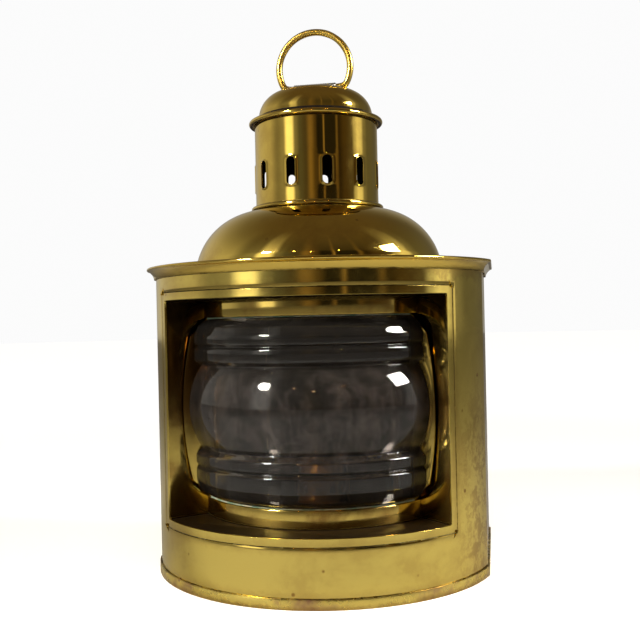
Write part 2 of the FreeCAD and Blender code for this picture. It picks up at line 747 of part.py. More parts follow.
def make_back_panel():
    half = "body_width / 2 - panel_gap"
    low = "base_band + panel_gap"
    high = "plate_top - cove_drop - panel_gap"
    opening = "door_half_width - door_lap"
    outlines = [rectangle(f"-({half})", half, low, high),
                rectangle(f"-({opening})", opening, "door_bottom + door_lap", "door_top - door_lap")]
    panel = flat("back_panel", "XZ_Plane", outlines, "panel_sheet", f"-({PANEL_BACK})")
    keep(panel, "back_panel")
    row = "(body_width / 2 - return_flange / 2 - body_sheet / 2)"
    rivets = []
    for side in (-1, 1):
        for number in range(4):
            level = f"panel_rivet_low + {number} * (plate_top - panel_rivet_head - panel_rivet_low) / 3"
            rivets.append(rivet(f"panel_rivet_{side}_{number}", f"{side} * {row}",
                                "back_plane", "panel_sheet", level))
    group("back_panel_rivets", rivets)


def rivet(name, x, seat, grip, z):
    """Round head outside the sheet, on a short stub that ends at the sheet's outer face."""
    head = doc.addObject("Part::Cone", name)
    about, angle = AXES["y"]
    head.Placement = FreeCAD.Placement(FreeCAD.Vector(0, 0, 0), FreeCAD.Rotation(about, angle))
    tie(head, "Radius1", "rivet_head")
    tie(head, "Radius2", "rivet_shank")
    tie(head, "Height", "rivet_rise")
    tie(head, "Placement.Base.x", x)
    tie(head, "Placement.Base.y", f"{seat} + {grip}")
    tie(head, "Placement.Base.z", z)
    return head


def make_door():
    outline = rectangle("-door_half_width", "door_half_width", "door_bottom", "door_top")
    keep(flat("door", "XZ_Plane", [outline], "door_sheet", f"-({DOOR_OUTSIDE})"), "door")
    knob_x = "-(door_half_width - knob_inset)"
    neck = rod("knob_neck_bar", "y", "knob_neck", "knob_length * 0.5", knob_x, DOOR_OUTSIDE,
               "catch_middle")
    head = rod("knob_head_bar", "y", "knob_radius", "knob_length * 0.5", knob_x,
               f"{DOOR_OUTSIDE} + knob_length * 0.5", "catch_middle")
    keep(fuse("door_knob", neck, head), "door_knob")


def make_reflector():
    """Bright curved sheet on the inside of the door, with its hollow side towards the flame."""
    outer = "reflector_curve"
    inner = "(reflector_curve - reflector_sheet)"
    centre = f"({DOOR_INSIDE} - reflector_curve)"
    half = "reflector_half_width"
    outer_y = f"{centre} + sqrt({outer}^2 - {half}^2)"
    inner_y = f"{centre} + sqrt({inner}^2 - {half}^2)"
    plan = [(half, outer_y, ("0", centre, outer, 1)), (f"-{half}", outer_y),
            (f"-{half}", inner_y, ("0", centre, inner, -1)), (half, inner_y)]
    sheet_piece = flat("reflector", "XY_Plane", [plan], "reflector_top - reflector_bottom",
                       "reflector_bottom")
    keep(sheet_piece, "reflector")
    rivets = []
    for number, level in enumerate(("reflector_bottom + 8", "reflector_top - 8")):
        rivets.append(rivet(f"reflector_rivet_{number}", "0", DOOR_INSIDE, "door_sheet", level))
    group("reflector_rivets", rivets)


def make_hinges():
    pin_x = "(door_half_width + hinge_side_gap)"
    pin_y = f"({PANEL_BACK} + hinge_knuckle + 0.2)"
    barrel_third = "(hinge_length - 2 * knuckle_gap) / 3"
    fixed, moving, pins, fixed_rivets, moving_rivets = [], [], [], [], []
    for number, level in enumerate(("hinge_low", "hinge_high")):
        low = f"({level} - hinge_length / 2)"
        high = f"({level} + hinge_length / 2)"
        door_low = f"({low} + {barrel_third} + knuckle_gap)"
        door_high = f"({high} - {barrel_third} - knuckle_gap)"
        bore = rod(f"hinge_bore_{number}", "z", "hinge_pin + hinge_fit", "hinge_length + 2",
                   pin_x, pin_y, f"{low} - 1")
        leaf = box(f"frame_leaf_{number}", pin_x, f"{pin_x} + hinge_leaf_width", PANEL_BACK,
                   f"{PANEL_BACK} + hinge_leaf", low, high)
        barrel = rod(f"frame_barrel_{number}", "z", "hinge_knuckle", "hinge_length",
                     pin_x, pin_y, low)
        notch = box(f"frame_notch_{number}", f"{pin_x} - 3", f"{pin_x} + hinge_knuckle + 0.3",
                    f"{PANEL_BACK} - 1", f"{pin_y} + 3", f"{door_low} - knuckle_gap",
                    f"{door_high} + knuckle_gap")
        fixed.append(cut(f"frame_hinge_{number}", fuse(f"frame_blank_{number}", leaf, barrel),
                         bore, notch))
        door_bore = rod(f"door_bore_{number}", "z", "hinge_pin + hinge_fit", "hinge_length + 2",
                        pin_x, pin_y, f"{low} - 1")
        door_leaf = box(f"door_leaf_{number}", f"{pin_x} - hinge_leaf_width - hinge_side_gap",
                        pin_x, DOOR_OUTSIDE, f"{DOOR_OUTSIDE} + hinge_leaf", door_low, door_high)
        door_barrel = rod(f"door_barrel_{number}", "z", "hinge_knuckle",
                          f"{door_high} - {door_low}", pin_x, pin_y, door_low)
        moving.append(cut(f"door_hinge_{number}",
                          fuse(f"door_blank_{number}", door_leaf, door_barrel), door_bore))
        pins.append(rod(f"hinge_pin_{number}", "z", "hinge_pin", "hinge_length", pin_x, pin_y, low))
        for step in (-1, 1):
            fixed_rivets.append(rivet(f"frame_rivet_{number}_{step}",
                                      f"{pin_x} + hinge_leaf_width - 4", PANEL_BACK, "hinge_leaf",
                                      f"{level} + {step} * hinge_length * 0.28"))
        moving_rivets.append(rivet(f"door_rivet_{number}",
                                   f"{pin_x} - hinge_leaf_width + 1.5", DOOR_OUTSIDE,
                                   "hinge_leaf", level))
    group("frame_hinge_leaves", fixed)
    group("door_hinge_leaves", moving)
    group("hinge_pins", pins)
    group("frame_hinge_rivets", fixed_rivets)
    group("door_hinge_rivets", moving_rivets)


def make_catch():
    """Turn button beside the door, shown upright, which is off the door."""
    pivot_x = "-(door_half_width + catch_side_gap)"
    under = f"({DOOR_OUTSIDE} + door_gap)"
    bar = box("catch_bar", f"{pivot_x} - catch_width / 2", f"{pivot_x} + catch_width / 2",
              under, f"{under} + catch_sheet", "catch_middle - catch_length / 2",
              "catch_middle + catch_length / 2")
    tab = box("catch_tab", f"{pivot_x} - catch_width / 2", f"{pivot_x} + catch_width / 2",
              under, f"{under} + 6", "catch_middle - catch_length / 2",
              "catch_middle - catch_length / 2 + catch_sheet")
    hole = rod("catch_hole", "y", "catch_shank + catch_fit", "catch_sheet + 2", pivot_x,
               f"{under} - 1", "catch_middle")
    keep(cut("turn_catch", fuse("catch_blank", bar, tab), hole), "turn_catch")
    post = rod("catch_collar", "y", "catch_post", f"{under} - 0.1 - ({PANEL_BACK})", pivot_x,
               PANEL_BACK, "catch_middle")
    shank = rod("catch_stem", "y", "catch_shank", f"{under} + catch_sheet + 0.5 - ({PANEL_BACK})",
                pivot_x, PANEL_BACK, "catch_middle")
    head = rod("catch_head", "y", "catch_post", "rivet_rise", pivot_x,
               f"{under} + catch_sheet + 0.1", "catch_middle")
    keep(fuse("catch_pivot", post, shank, head), "catch_pivot")


def make_socket():
    """Hat-section strap that drops over the upright tongue of a bulkhead bracket."""
    half = "socket_half_slot"
    wall = "(socket_half_slot + socket_sheet)"
    wing = "(socket_half_slot + socket_sheet + socket_flange)"
    inside = f"({PANEL_BACK} + socket_depth)"
    outside = f"({PANEL_BACK} + socket_depth + socket_sheet)"
    foot = f"({PANEL_BACK} + socket_sheet)"
    plan = [(f"-{wing}", PANEL_BACK), (f"-{half}", PANEL_BACK), (f"-{half}", inside),
            (half, inside), (half, PANEL_BACK), (wing, PANEL_BACK), (wing, foot), (wall, foot),
            (wall, outside), (f"-{wall}", outside), (f"-{wall}", foot), (f"-{wing}", foot)]
    keep(flat("hanging_socket", "XY_Plane", [plan], "socket_height", "socket_bottom"),
         "hanging_socket")
    rivets = []
    for side in (-1, 1):
        for number, share in enumerate(("0.25", "0.75")):
            rivets.append(rivet(f"socket_rivet_{side}_{number}",
                                f"{side} * ({wall} + socket_flange / 2)", PANEL_BACK,
                                "socket_sheet", f"socket_bottom + socket_height * {share}"))
    group("hanging_socket_rivets", rivets)


# ---------------------------------------------------------------- oil lamp

def make_font():
    ring = rectangle("font_radius + ring_fit", "font_radius + ring_fit + ring_sheet",
                     "base_sheet", "base_sheet + ring_height")
    keep(turned("font_ring", ring), "font_ring")
    wall = "font_radius - font_sheet"
    outline = [("0", "font_bottom"), ("font_radius", "font_bottom"),
               ("font_radius", "font_shoulder"), ("font_mouth + collar_wall", "font_top"),
               ("font_mouth", "font_top"), ("font_mouth", "font_top - font_sheet"),
               (wall, "font_shoulder - font_sheet"), (wall, "font_bottom + font_sheet"),
               ("0", "font_bottom + font_sheet")]
    body = turned("font", outline)
    keep(body, "font")
    collar = rectangle("font_mouth", "font_mouth + collar_wall", "font_top",
                       "font_top + collar_height")
    keep(turned("font_collar", collar), "font_collar")


def make_filler():
    x = "filler_place * sin(filler_turn * 1 deg)"
    y = "filler_place * cos(filler_turn * 1 deg)"
    fall = "(font_top - font_shoulder) / (font_radius - font_mouth - collar_wall)"
    seat = f"(font_top - (filler_place + filler_neck - font_mouth - collar_wall) * {fall})"
    rise = f"(font_top - (filler_place - filler_neck - font_mouth - collar_wall) * {fall})"
    neck = rod("filler_neck_bar", "z", "filler_neck", f"{rise} + filler_neck_rise - {seat}", x, y, seat)
    cone = doc.addObject("Part::Cone", "font_slope")
    tie(cone, "Radius1", "font_radius")
    tie(cone, "Radius2", "font_mouth + collar_wall")
    tie(cone, "Height", "font_top - font_shoulder")
    tie(cone, "Placement.Base.z", "font_shoulder")
    keep(cut("filler_neck_tube", neck, cone), "filler_neck")
    low = f"({rise} + 0.4)"
    shell = rod("filler_cap_outer", "z", "filler_radius", "filler_cap_height + 1.2", x, y, low)
    hollow = rod("filler_cap_inner", "z", "filler_neck + filler_fit",
                 f"{rise} + filler_neck_rise - {low} + 0.1", x, y, low)
    keep(cut("filler_cap_shell", shell, hollow), "filler_cap")


def make_burner():
    wick_half = "wick_width / 2 + wick_clearance"
    tube_half = f"{wick_half} + tube_wall"
    gap = "wick_thickness / 2 + wick_clearance"
    wall = f"{gap} + tube_wall"
    wheel_y = f"(wick_thickness / 2 + wheel_clearance + wheel_radius)"

    body = new_body("burner_base_blank")
    neck_inside = "burner_neck - burner_sheet"
    cup_inside = "burner_radius - burner_sheet"
    floor = "burner_bottom + burner_sheet"
    outline = [("0", "font_top - 0.4"), ("burner_neck", "font_top - 0.4"),
               ("burner_neck", "burner_bottom"), ("burner_radius", "burner_bottom"),
               ("burner_radius", "burner_rim"), (cup_inside, "burner_rim"), (cup_inside, floor),
               ("0", floor)]
    revolve(body, draw(body, "XZ_Plane", [outline]))
    passage = rectangle(f"-({tube_half})", tube_half, f"-({wall})", wall)
    pocket(body, draw(body, "XY_Plane", [passage], floor), "burner_rim - font_top")
    hole = draw(body, "XZ_Plane", [], "0",
                [("0", "(burner_bottom + burner_rim) / 2 + 3.4", "burner_hole")])
    ring_pattern(body, pocket(body, hole, "burner_radius * 1.5", backwards=True),
                 "burner_hole_count")
    shaft_way = rod("shaft_way", "x", "shaft_radius + shaft_fit", "burner_radius * 1.5", "0",
                    wheel_y, "shaft_level")
    keep(cut("burner_base_bored", body, shaft_way), "burner_base")

    tube = flat("wick_tube_blank", "XY_Plane",
                [rectangle(f"-({tube_half})", tube_half, f"-({wall})", wall),
                 rectangle(f"-({wick_half})", wick_half, f"-({gap})", gap)],
                "tube_top - tube_bottom", "tube_bottom")
    windows = []
    for side in (-1, 1):
        middle = f"{side} * wheel_place"
        windows.append(box(f"wheel_window_{side}", f"{middle} - wheel_width / 2 - 0.4",
                           f"{middle} + wheel_width / 2 + 0.4", "0", f"{wall} + 1",
                           "shaft_level - wheel_radius", "shaft_level + wheel_radius"))
    keep(cut("wick_tube_cut", tube, *windows), "wick_tube")

    cone = new_body("burner_deflector")
    skin = "burner_sheet"
    outline = [("burner_radius", "burner_rim"), ("burner_radius", "burner_rim + 3.5"),
               ("burner_radius * 0.62", "cone_top - 1.6"), ("0", "cone_top"),
               ("0", f"cone_top - {skin}"), ("burner_radius * 0.62 - 0.5", f"cone_top - 2.4"),
               (f"burner_radius - {skin}", "burner_rim + 3.2"),
               (f"burner_radius - {skin}", "burner_rim")]
    revolve(cone, draw(cone, "XZ_Plane", [outline]))
    slot = rectangle(f"-({wick_half} + 1)", f"{wick_half} + 1", "-cone_slot / 2", "cone_slot / 2")
    pocket(cone, draw(cone, "XY_Plane", [slot], "cone_top + 1"), "burner_rim / 4")
    keep(cone, "burner_deflector")

    half = "wick_width / 2"
    keep(box("wick_strip", f"-{half}", half, "-wick_thickness / 2", "wick_thickness / 2",
             "wick_bottom", "wick_top"), "wick")
    shaft_start = "-(wheel_place + wheel_width / 2 + 1)"
    shaft = rod("wick_shaft_bar", "x", "shaft_radius", f"shaft_end - ({shaft_start})", shaft_start,
                wheel_y, "shaft_level")
    keep(shaft, "wick_shaft")
    wheels = []
    for side in (-1, 1):
        disc = rod(f"wick_wheel_disc_{side}", "x", "wheel_radius", "wheel_width",
                   f"{side} * wheel_place - wheel_width / 2", wheel_y, "shaft_level")
        eye = rod(f"wick_wheel_eye_{side}", "x", "shaft_radius", "wheel_width + 2",
                  f"{side} * wheel_place - wheel_width / 2 - 1", wheel_y, "shaft_level")
        wheels.append(cut(f"wick_wheel_{side}", disc, eye))
    group("wick_wheels", wheels)
    disc = rod("wick_knob_disc", "x", "wick_knob_radius", "wick_knob_width", "shaft_end", wheel_y,
               "shaft_level")
    keep(disc, "wick_knob")


def build():
    make_body_shell()
    make_base_pan()
    make_window_frame()
    make_wings()
    make_recess_floor_and_ceiling()
    make_lens_collars()
    make_lens()
    make_lens_channels()
    make_top_plate()
    dome_top = make_dome()
    make_chimney(dome_top)
    make_cap()
    make_handle()
    make_back_panel()
    make_door()
    make_reflector()
    make_hinges()
    make_catch()
    make_socket()
    make_font()
    make_filler()
    make_burner()


def check_and_write():
    doc.recompute()
    for thing in doc.Objects:
        if "Invalid" in thing.State or "Error" in thing.State:
            raise RuntimeError(f"{thing.Name} did not compute: {thing.State}")
    os.makedirs("parts", exist_ok=True)
    for piece in pieces:
        if piece.Shape.isNull() or not piece.Shape.isValid() or not piece.Shape.Solids:
            raise RuntimeError(f"{piece.Label} has no valid solid")
        piece.Shape.exportStep(f"parts/{piece.Label}.step")
    print(len(pieces), "nodes written")


build()
check_and_write()
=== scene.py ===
import math
import bmesh
import bpy
from mathutils import Matrix, Vector


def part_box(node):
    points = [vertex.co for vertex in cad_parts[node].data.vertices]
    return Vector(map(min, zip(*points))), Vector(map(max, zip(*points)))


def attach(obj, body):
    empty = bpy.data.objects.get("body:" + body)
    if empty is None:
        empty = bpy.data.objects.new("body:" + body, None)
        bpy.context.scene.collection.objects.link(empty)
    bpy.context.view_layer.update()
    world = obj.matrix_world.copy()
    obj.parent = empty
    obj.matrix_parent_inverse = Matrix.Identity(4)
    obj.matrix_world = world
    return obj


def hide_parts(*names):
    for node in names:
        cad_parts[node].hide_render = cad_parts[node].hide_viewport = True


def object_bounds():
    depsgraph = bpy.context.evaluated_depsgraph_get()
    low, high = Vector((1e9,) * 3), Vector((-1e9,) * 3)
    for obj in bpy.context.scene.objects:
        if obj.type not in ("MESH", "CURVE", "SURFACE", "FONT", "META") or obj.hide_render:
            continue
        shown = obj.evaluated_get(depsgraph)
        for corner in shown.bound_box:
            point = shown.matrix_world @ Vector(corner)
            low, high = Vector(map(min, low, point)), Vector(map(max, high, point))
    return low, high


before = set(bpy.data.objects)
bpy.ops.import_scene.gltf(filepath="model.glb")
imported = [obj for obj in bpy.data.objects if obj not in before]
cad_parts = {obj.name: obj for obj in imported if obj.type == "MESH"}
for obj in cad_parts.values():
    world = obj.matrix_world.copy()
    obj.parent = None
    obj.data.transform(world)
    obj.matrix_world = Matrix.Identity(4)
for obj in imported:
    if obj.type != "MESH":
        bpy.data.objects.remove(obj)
CAD_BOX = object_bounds()
BOXES = {node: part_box(node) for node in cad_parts}

bl_info = {
    "name": "Ship Lantern",
    "version": (1, 0, 0),
    "blender": (4, 5, 0),
    "location": "3D View > Sidebar > Lantern",
    "description": "Polished brass ship lantern with a pressed glass lens, piece by piece",
    "category": "Add Mesh",
}

MM = 0.001
FULL = 2 * math.pi
MERGE = 0.003 * MM              # points nearer than this are one point
SAME_PLANE = math.radians(0.6)  # faces that turn less than this are one flat face

LENS_INNER = 54.5 * MM          # radii of the glass, from the upright axis
LENS_SEAT = 59.5 * MM
LENS_RIB = 66.9 * MM
LENS_NOTCH = 63.6 * MM
BELLY_RISE = 24.2 * MM          # bulge's lower edge above the lens's foot
BELLY_DROP = 22.7 * MM          # bulge's upper edge below the lens's top
SPLIT_RISE = 16 * MM            # groove between the two lower ribs
SPLIT_DROP = 13.5 * MM          # groove between the two upper ribs
CHEEK_RIM = 60.6 * MM           # a cheek's points beyond this radius are its outer edge

PLATE_HOLE = 54 * MM            # hole in the top plate, under the dome
DOME_WALL = 0.8 * MM
CHIMNEY_WALL = 0.7 * MM
SLOT_COUNT = 11
SLOT_TURN = -12.5               # degrees from the front to the first slot
SLOT_RISE = 45.2 * MM           # slots' middle above the top plate
CAP_FLAT = 15.5 * MM            # radius of the cap's flat top


def box(node):
    """Lowest and highest corner of a CAD node."""
    low, high = BOXES[node]
    return low.copy(), high.copy()


# ---------------------------------------------------------------- settings

def length(name, default, description):
    return bpy.props.FloatProperty(name=name, default=default, description=description,
                                   unit="LENGTH", precision=5, min=0.0)


def angle(name, default, description):
    return bpy.props.FloatProperty(name=name, default=math.radians(default),
                                   description=description, unit="ROTATION")


def colour(name, default, description):
    return bpy.props.FloatVectorProperty(name=name, default=default, description=description,
                                         subtype="COLOR", size=3, min=0.0, max=1.0)


class LanternSizes(bpy.types.PropertyGroup):
    sheet: length("Sheet", 0.9 * MM, "Thickness of the body's brass sheet")
    front_radius: length("Front radius", 86 * MM, "Outside radius of the curved front")
    side_corner: length("Side corner", 6 * MM, "Bend between the front and each side")
    back_corner: length("Back corner", 1.6 * MM, "Bend between each side and the back")
    return_flange: length("Return flange", 9 * MM, "Body sheet folded in at the back")
    window_flange: length("Window strip", 3.9 * MM, "Width of the flush strip round the window")
    window_corner: length("Window corner", 2.4 * MM, "Rounding of the strip's outer corners")
    seam: length("Seam", 0.3 * MM, "Open seam between the strip and the body")
    window_angle: angle("Window half angle", 52,
                        "From the middle of the front to the window's side")
    fold: length("Fold", 0.45 * MM, "Rounding of folded edges")
    hem: length("Hem", 0.55 * MM, "Radius of the wired edge on the lens cheeks")
    dome_foot: length("Dome foot", 3.0 * MM, "Upright foot of the dome")
    dome_curve: length("Dome curve", 34 * MM, "Radius of the dome's shoulder")
    cap_curve: length("Cap curve", 13.8 * MM, "Radius of the cap's shoulder")
    cap_bead: length("Cap bead", 1.3 * MM, "Radius of the cap's rolled rim")
    slot_width: length("Slot width", 4.7 * MM, "Width of a chimney slot")
    slot_height: length("Slot height", 13.9 * MM, "Height of a chimney slot")
    slot_lip: length("Slot lip", 0.42 * MM, "How far the burr round each slot stands out")
    rib_pitch: length("Rib pitch", 0.95 * MM, "Spacing of the fine ribs on the handle's sleeve")
    plate_rim: length("Plate rim", 1.5 * MM, "Thickness of the top plate's rolled edge")
    edge_wear: length("Edge rounding", 0.18 * MM, "Rounding of plain cut edges")


class LanternFinish(bpy.types.PropertyGroup):
    brass: colour("Brass", (0.85, 0.665, 0.165), "Polished brass")
    hood: colour("Hood brass", (0.83, 0.6, 0.125), "Polished brass of the hood, a little redder")
    tarnish: colour("Tarnish", (0.33, 0.17, 0.045), "Brown tarnish")
    # Painted shade: deep brown laid over the wings of the window recess
    wing: colour("Wing shade", (0.085, 0.042, 0.011), "Deep brown painted shade inside the recess")
    bloom: colour("Bloom", (0.42, 0.24, 0.13), "Pinkish bloom on the base")
    grime: colour("Grime", (0.035, 0.022, 0.01), "Dirt in seams and corners")
    # Partly real soot and partly painted shade: soot on the burner and wick, and over the lamp
    # room's insides it keeps the room dark through the lens
    soot: colour("Soot", (0.02, 0.016, 0.014), "Sooty inside of the lamp room")
    # Painted shade: the glass is tinted much darker than a little smoke, so the lamp room and
    # cheeks seen through it look dark
    glass: colour("Glass", (0.24, 0.225, 0.2), "Lens glass, a little smoky")
    dust: colour("Dust", (0.8, 0.68, 0.62), "Dust and smears on the lens")
    putty: colour("Putty", (0.5, 0.52, 0.42), "Old putty")
    verdigris: colour("Verdigris", (0.16, 0.3, 0.24), "Green stain in the putty")
    # Painted shade: the reflector is made a near-black smoked tin so the lamp room seen through
    # the lens stays dark
    tin: colour("Tin", (0.07, 0.06, 0.055), "Smoked tin reflector")
    steel: colour("Steel", (0.4, 0.39, 0.37), "Hinge pins")
    cotton: colour("Cotton", (0.5, 0.44, 0.34), "Wick")
    floor: colour("Floor", (0.86, 0.86, 0.85), "Pale floor")


def sizes():
    return bpy.context.scene.lantern_sizes


def finish():
    return bpy.context.scene.lantern_finish


# ---------------------------------------------------------------- node helpers

def socket(group, name, kind, way="INPUT", default=None):
    made = group.interface.new_socket(name=name, in_out=way, socket_type="NodeSocket" + kind)
    if default is not None:
        made.default_value = default
    return made


class Tree:
    """Short way of adding linked nodes to a tree."""

    def __init__(self, tree):
        self.tree = tree

    def add(self, kind, *values, **settings):
        node = self.tree.nodes.new(kind)
        for key, setting in settings.items():
            if key.startswith("in_"):
                self.join(setting, node.inputs[key[3:].replace("_", " ")])
            else:
                setattr(node, key, setting)
        for index, given in enumerate(values):
            if given is not None:
                self.join(given, node.inputs[index])
        return node

    def join(self, given, target):
        if isinstance(given, bpy.types.Node):
            given = given.outputs[0]
        if isinstance(given, bpy.types.NodeSocket):
            self.tree.links.new(given, target)
        else:
            target.default_value = given

    def math(self, operation, *values, clamp=False):
        return self.add("ShaderNodeMath", *values, operation=operation, use_clamp=clamp).outputs[0]

    def times(self, first, second, clamp=False):
        return self.math("MULTIPLY", first, second, clamp=clamp)

    def mix(self, factor, first, second, blend="MIX"):
        node = self.add("ShaderNodeMix", data_type="RGBA", blend_type=blend)
        for given, index in ((factor, 0), (first, 6), (second, 7)):
            self.join(given, node.inputs[index])
        return node.outputs[2]

    def ramp(self, factor, low, high, start=0.0, end=1.0):
        return self.add("ShaderNodeMapRange", factor, low, high, start, end,
                        interpolation_type="SMOOTHSTEP").outputs[0]

    def noise(self, vector, scale, detail=3.0, rough=0.55, distortion=0.0):
        node = self.add("ShaderNodeTexNoise", in_Vector=vector, in_Scale=scale,
                        in_Detail=detail, in_Roughness=rough, in_Distortion=distortion)
        return node.outputs["Fac"]

    def length(self, vector):
        return self.add("ShaderNodeVectorMath", vector, operation="LENGTH").outputs["Value"]

    def axes(self, vector):
        return self.add("ShaderNodeSeparateXYZ", vector).outputs

    def group(self, name, build, **inputs):
        """Outputs of a shared group, which is built the first time it is wanted."""
        node = self.add("ShaderNodeGroup",
                        node_tree=bpy.data.node_groups.get(name) or build(name))
        for label, given in inputs.items():
            self.join(given, node.inputs[label])
        return node.outputs


def rgba(values):
    return (values[0], values[1], values[2], 1.0)


def shader_group(name, inputs, outputs):
    group = bpy.data.node_groups.new(name, "ShaderNodeTree")
    for label, kind, default in inputs:
        socket(group, label, kind, "INPUT", default)
    for label, kind in outputs:
        socket(group, label, kind, "OUTPUT")
    tree = Tree(group)
    return tree, group, tree.add("NodeGroupInput").outputs, tree.add("NodeGroupOutput").inputs


def build_sheet_wear(name):
    """Polish marks, dull film, tarnish clouds, spots and pits of handled sheet brass."""
    tree, group, given, out = shader_group(
        name,
        [("Vector", "Vector", None), ("Metal", "Color", (0.8, 0.6, 0.2, 1)),
         ("Tarnish", "Color", (0.3, 0.16, 0.05, 1)), ("Clouds", "Float", 0.3),
         ("Spots", "Float", 0.3), ("Polish", "Float", 0.14), ("Film", "Float", 0.12)],
        [("Color", "Color"), ("Roughness", "Float"), ("Height", "Float")])
    place = given["Vector"]
    broad = tree.noise(place, 26, 4, 0.6, 0.6)
    fine = tree.noise(place, 130, 5, 0.62)
    cloud = tree.ramp(tree.math("MULTIPLY_ADD", fine, 0.35, broad), 0.62, 0.86)
    cloud = tree.times(cloud, given["Clouds"])
    cells = tree.add("ShaderNodeTexVoronoi", in_Vector=place, in_Scale=150.0)
    seed = tree.add("ShaderNodeSeparateColor", cells.outputs["Color"])
    rare = tree.math("LESS_THAN", seed.outputs[0], 0.13)
    size = tree.math("MULTIPLY_ADD", seed.outputs[1], 0.13, 0.03)
    spot = tree.math("SUBTRACT", 1.0, tree.ramp(cells.outputs["Distance"], size, 0.19))
    spot = tree.times(tree.times(spot, rare), given["Spots"], clamp=True)
    dirt = tree.math("MAXIMUM", cloud, spot)
    shade = tree.ramp(tree.noise(place, 9, 2, 0.5), 0.3, 0.7, 0.93, 1.05)
    metal = tree.mix(1.0, given["Metal"], shade, "MULTIPLY")
    tree.join(tree.mix(dirt, metal, given["Tarnish"]), out["Color"])
    rub = tree.add("ShaderNodeMapping", place)
    rub.inputs["Scale"].default_value = (60, 60, 900)
    rub.inputs["Rotation"].default_value = (0.0, 0.03, 0.0)
    marks = tree.noise(rub, 1.0, 4, 0.7)
    film = tree.ramp(tree.noise(place, 45, 6, 0.66, 1.2), 0.42, 0.72)
    rough = tree.math("MULTIPLY_ADD", film, given["Film"], given["Polish"])
    rough = tree.math("MULTIPLY_ADD", tree.ramp(marks, 0.5, 0.8), 0.015, rough)
    tree.join(tree.math("MULTIPLY_ADD", dirt, 0.16, rough, clamp=True), out["Roughness"])
    dents = tree.times(tree.noise(place, 34, 1, 0.4), 1.2)
    grain = tree.times(marks, 0.002)
    pits = tree.times(spot, -0.12)
    tree.join(tree.math("ADD", tree.math("ADD", dents, grain), pits), out["Height"])
    return group


def build_band_mask(name):
    """1 within a soft, ragged band where the distance is near nought."""
    tree, group, given, out = shader_group(
        name, [("Vector", "Vector", None), ("Distance", "Float", 0.0), ("Width", "Float", 0.001),
               ("Ragged", "Float", 0.6)], [("Mask", "Float")])
    wobble = tree.math("SUBTRACT", tree.noise(given["Vector"], 260, 4, 0.7), 0.5)
    edge = tree.times(tree.times(wobble, given["Ragged"]), given["Width"])
    near = tree.math("ADD", tree.math("ABSOLUTE", given["Distance"]), edge)
    spread = tree.math("DIVIDE", near, given["Width"])
    tree.join(tree.math("SUBTRACT", 1.0, tree.ramp(spread, 0.15, 1.0)), out["Mask"])
    return group


def build_window_distance(name):
    """Distance over the curved front from the edge of a window strip, outside positive."""
    tree, group, given, out = shader_group(
        name, [("Vector", "Vector", None), ("Centre", "Float", 0.0), ("Radius", "Float", 0.086),
               ("Half", "Float", 0.08), ("Low", "Float", 0.02), ("High", "Float", 0.14)],
        [("Distance", "Float")])
    place = tree.axes(given["Vector"])
    back = tree.math("SUBTRACT", given["Centre"], place[1])
    turn = tree.math("ARCTAN2", place[0], back)
    side = tree.times(tree.math("ABSOLUTE", turn), given["Radius"])
    beyond = tree.math("SUBTRACT", side, given["Half"])
    under = tree.math("SUBTRACT", given["Low"], place[2])
    over = tree.math("SUBTRACT", place[2], given["High"])
    tree.join(tree.math("MAXIMUM", beyond, tree.math("MAXIMUM", under, over)), out["Distance"])
    return group


# ---------------------------------------------------------------- materials

def new_material(name):
    made = bpy.data.materials.new(name)
    made.use_nodes = True
    tree = Tree(made.node_tree)
    shader = made.node_tree.nodes["Principled BSDF"]
    place = tree.add("ShaderNodeTexCoord").outputs["Object"]
    return made, tree, shader, place


def window_distance(tree, place):
    low, high = box("window_frame")
    size = sizes()
    return tree.group("WindowDistance", build_window_distance, Vector=place,
                      Centre=box("body_shell")[0].y + size.front_radius,
                      Radius=size.front_radius,
                      Half=size.front_radius * size.window_angle + size.window_flange,
                      Low=low.z, High=high.z)["Distance"]


def band(tree, place, distance, width, ragged, strength=1.0):
    """Mask of dirt along a seam, at a distance from it."""
    mask = tree.group("BandMask", build_band_mask, Vector=place, Distance=distance,
                      Width=width, Ragged=ragged)["Mask"]
    return tree.times(mask, strength)


def height_above(tree, place, level):
    return tree.math("SUBTRACT", tree.axes(place)[2], level)


def level_band(tree, place, level, *amounts):
    return band(tree, place, height_above(tree, place, level), *amounts)


def broken(tree, place, scale, least, most=1.0):
    """Uneven strength that breaks up a thin seam."""
    return tree.ramp(tree.noise(place, scale, 4, 0.7), 0.36, 0.6, least, most)


def brass(name, metal, tarnish, clouds, spots, polish, film, bump, seams=None):
    """Brass with its own amounts of wear; seams adds masks of dirt in this piece's own corners,
    and in the window recess masks of painted shade.
    """
    made, tree, shader, place = new_material(name)
    wear = tree.group("SheetWear", build_sheet_wear, Vector=place, Metal=rgba(metal),
                      Tarnish=rgba(tarnish), Clouds=clouds, Spots=spots, Polish=polish,
                      Film=film)
    shade = wear["Color"]
    rough = wear["Roughness"]
    if seams is not None:
        # each mask mixes in its colour: dirt in seams, and painted shade in the window recess
        for mask, dirt, roughness in seams(tree, place):
            shade = tree.mix(mask, shade, rgba(dirt))
            rough = tree.math("MAXIMUM", rough, tree.times(mask, roughness))
    tree.join(shade, shader.inputs["Base Color"])
    tree.join(rough, shader.inputs["Roughness"])
    tree.join(1.0, shader.inputs["Metallic"])
    relief = tree.add("ShaderNodeBump", in_Strength=bump, in_Distance=0.25 * MM,
                      in_Height=wear["Height"])
    tree.join(relief, shader.inputs["Normal"])
    return made


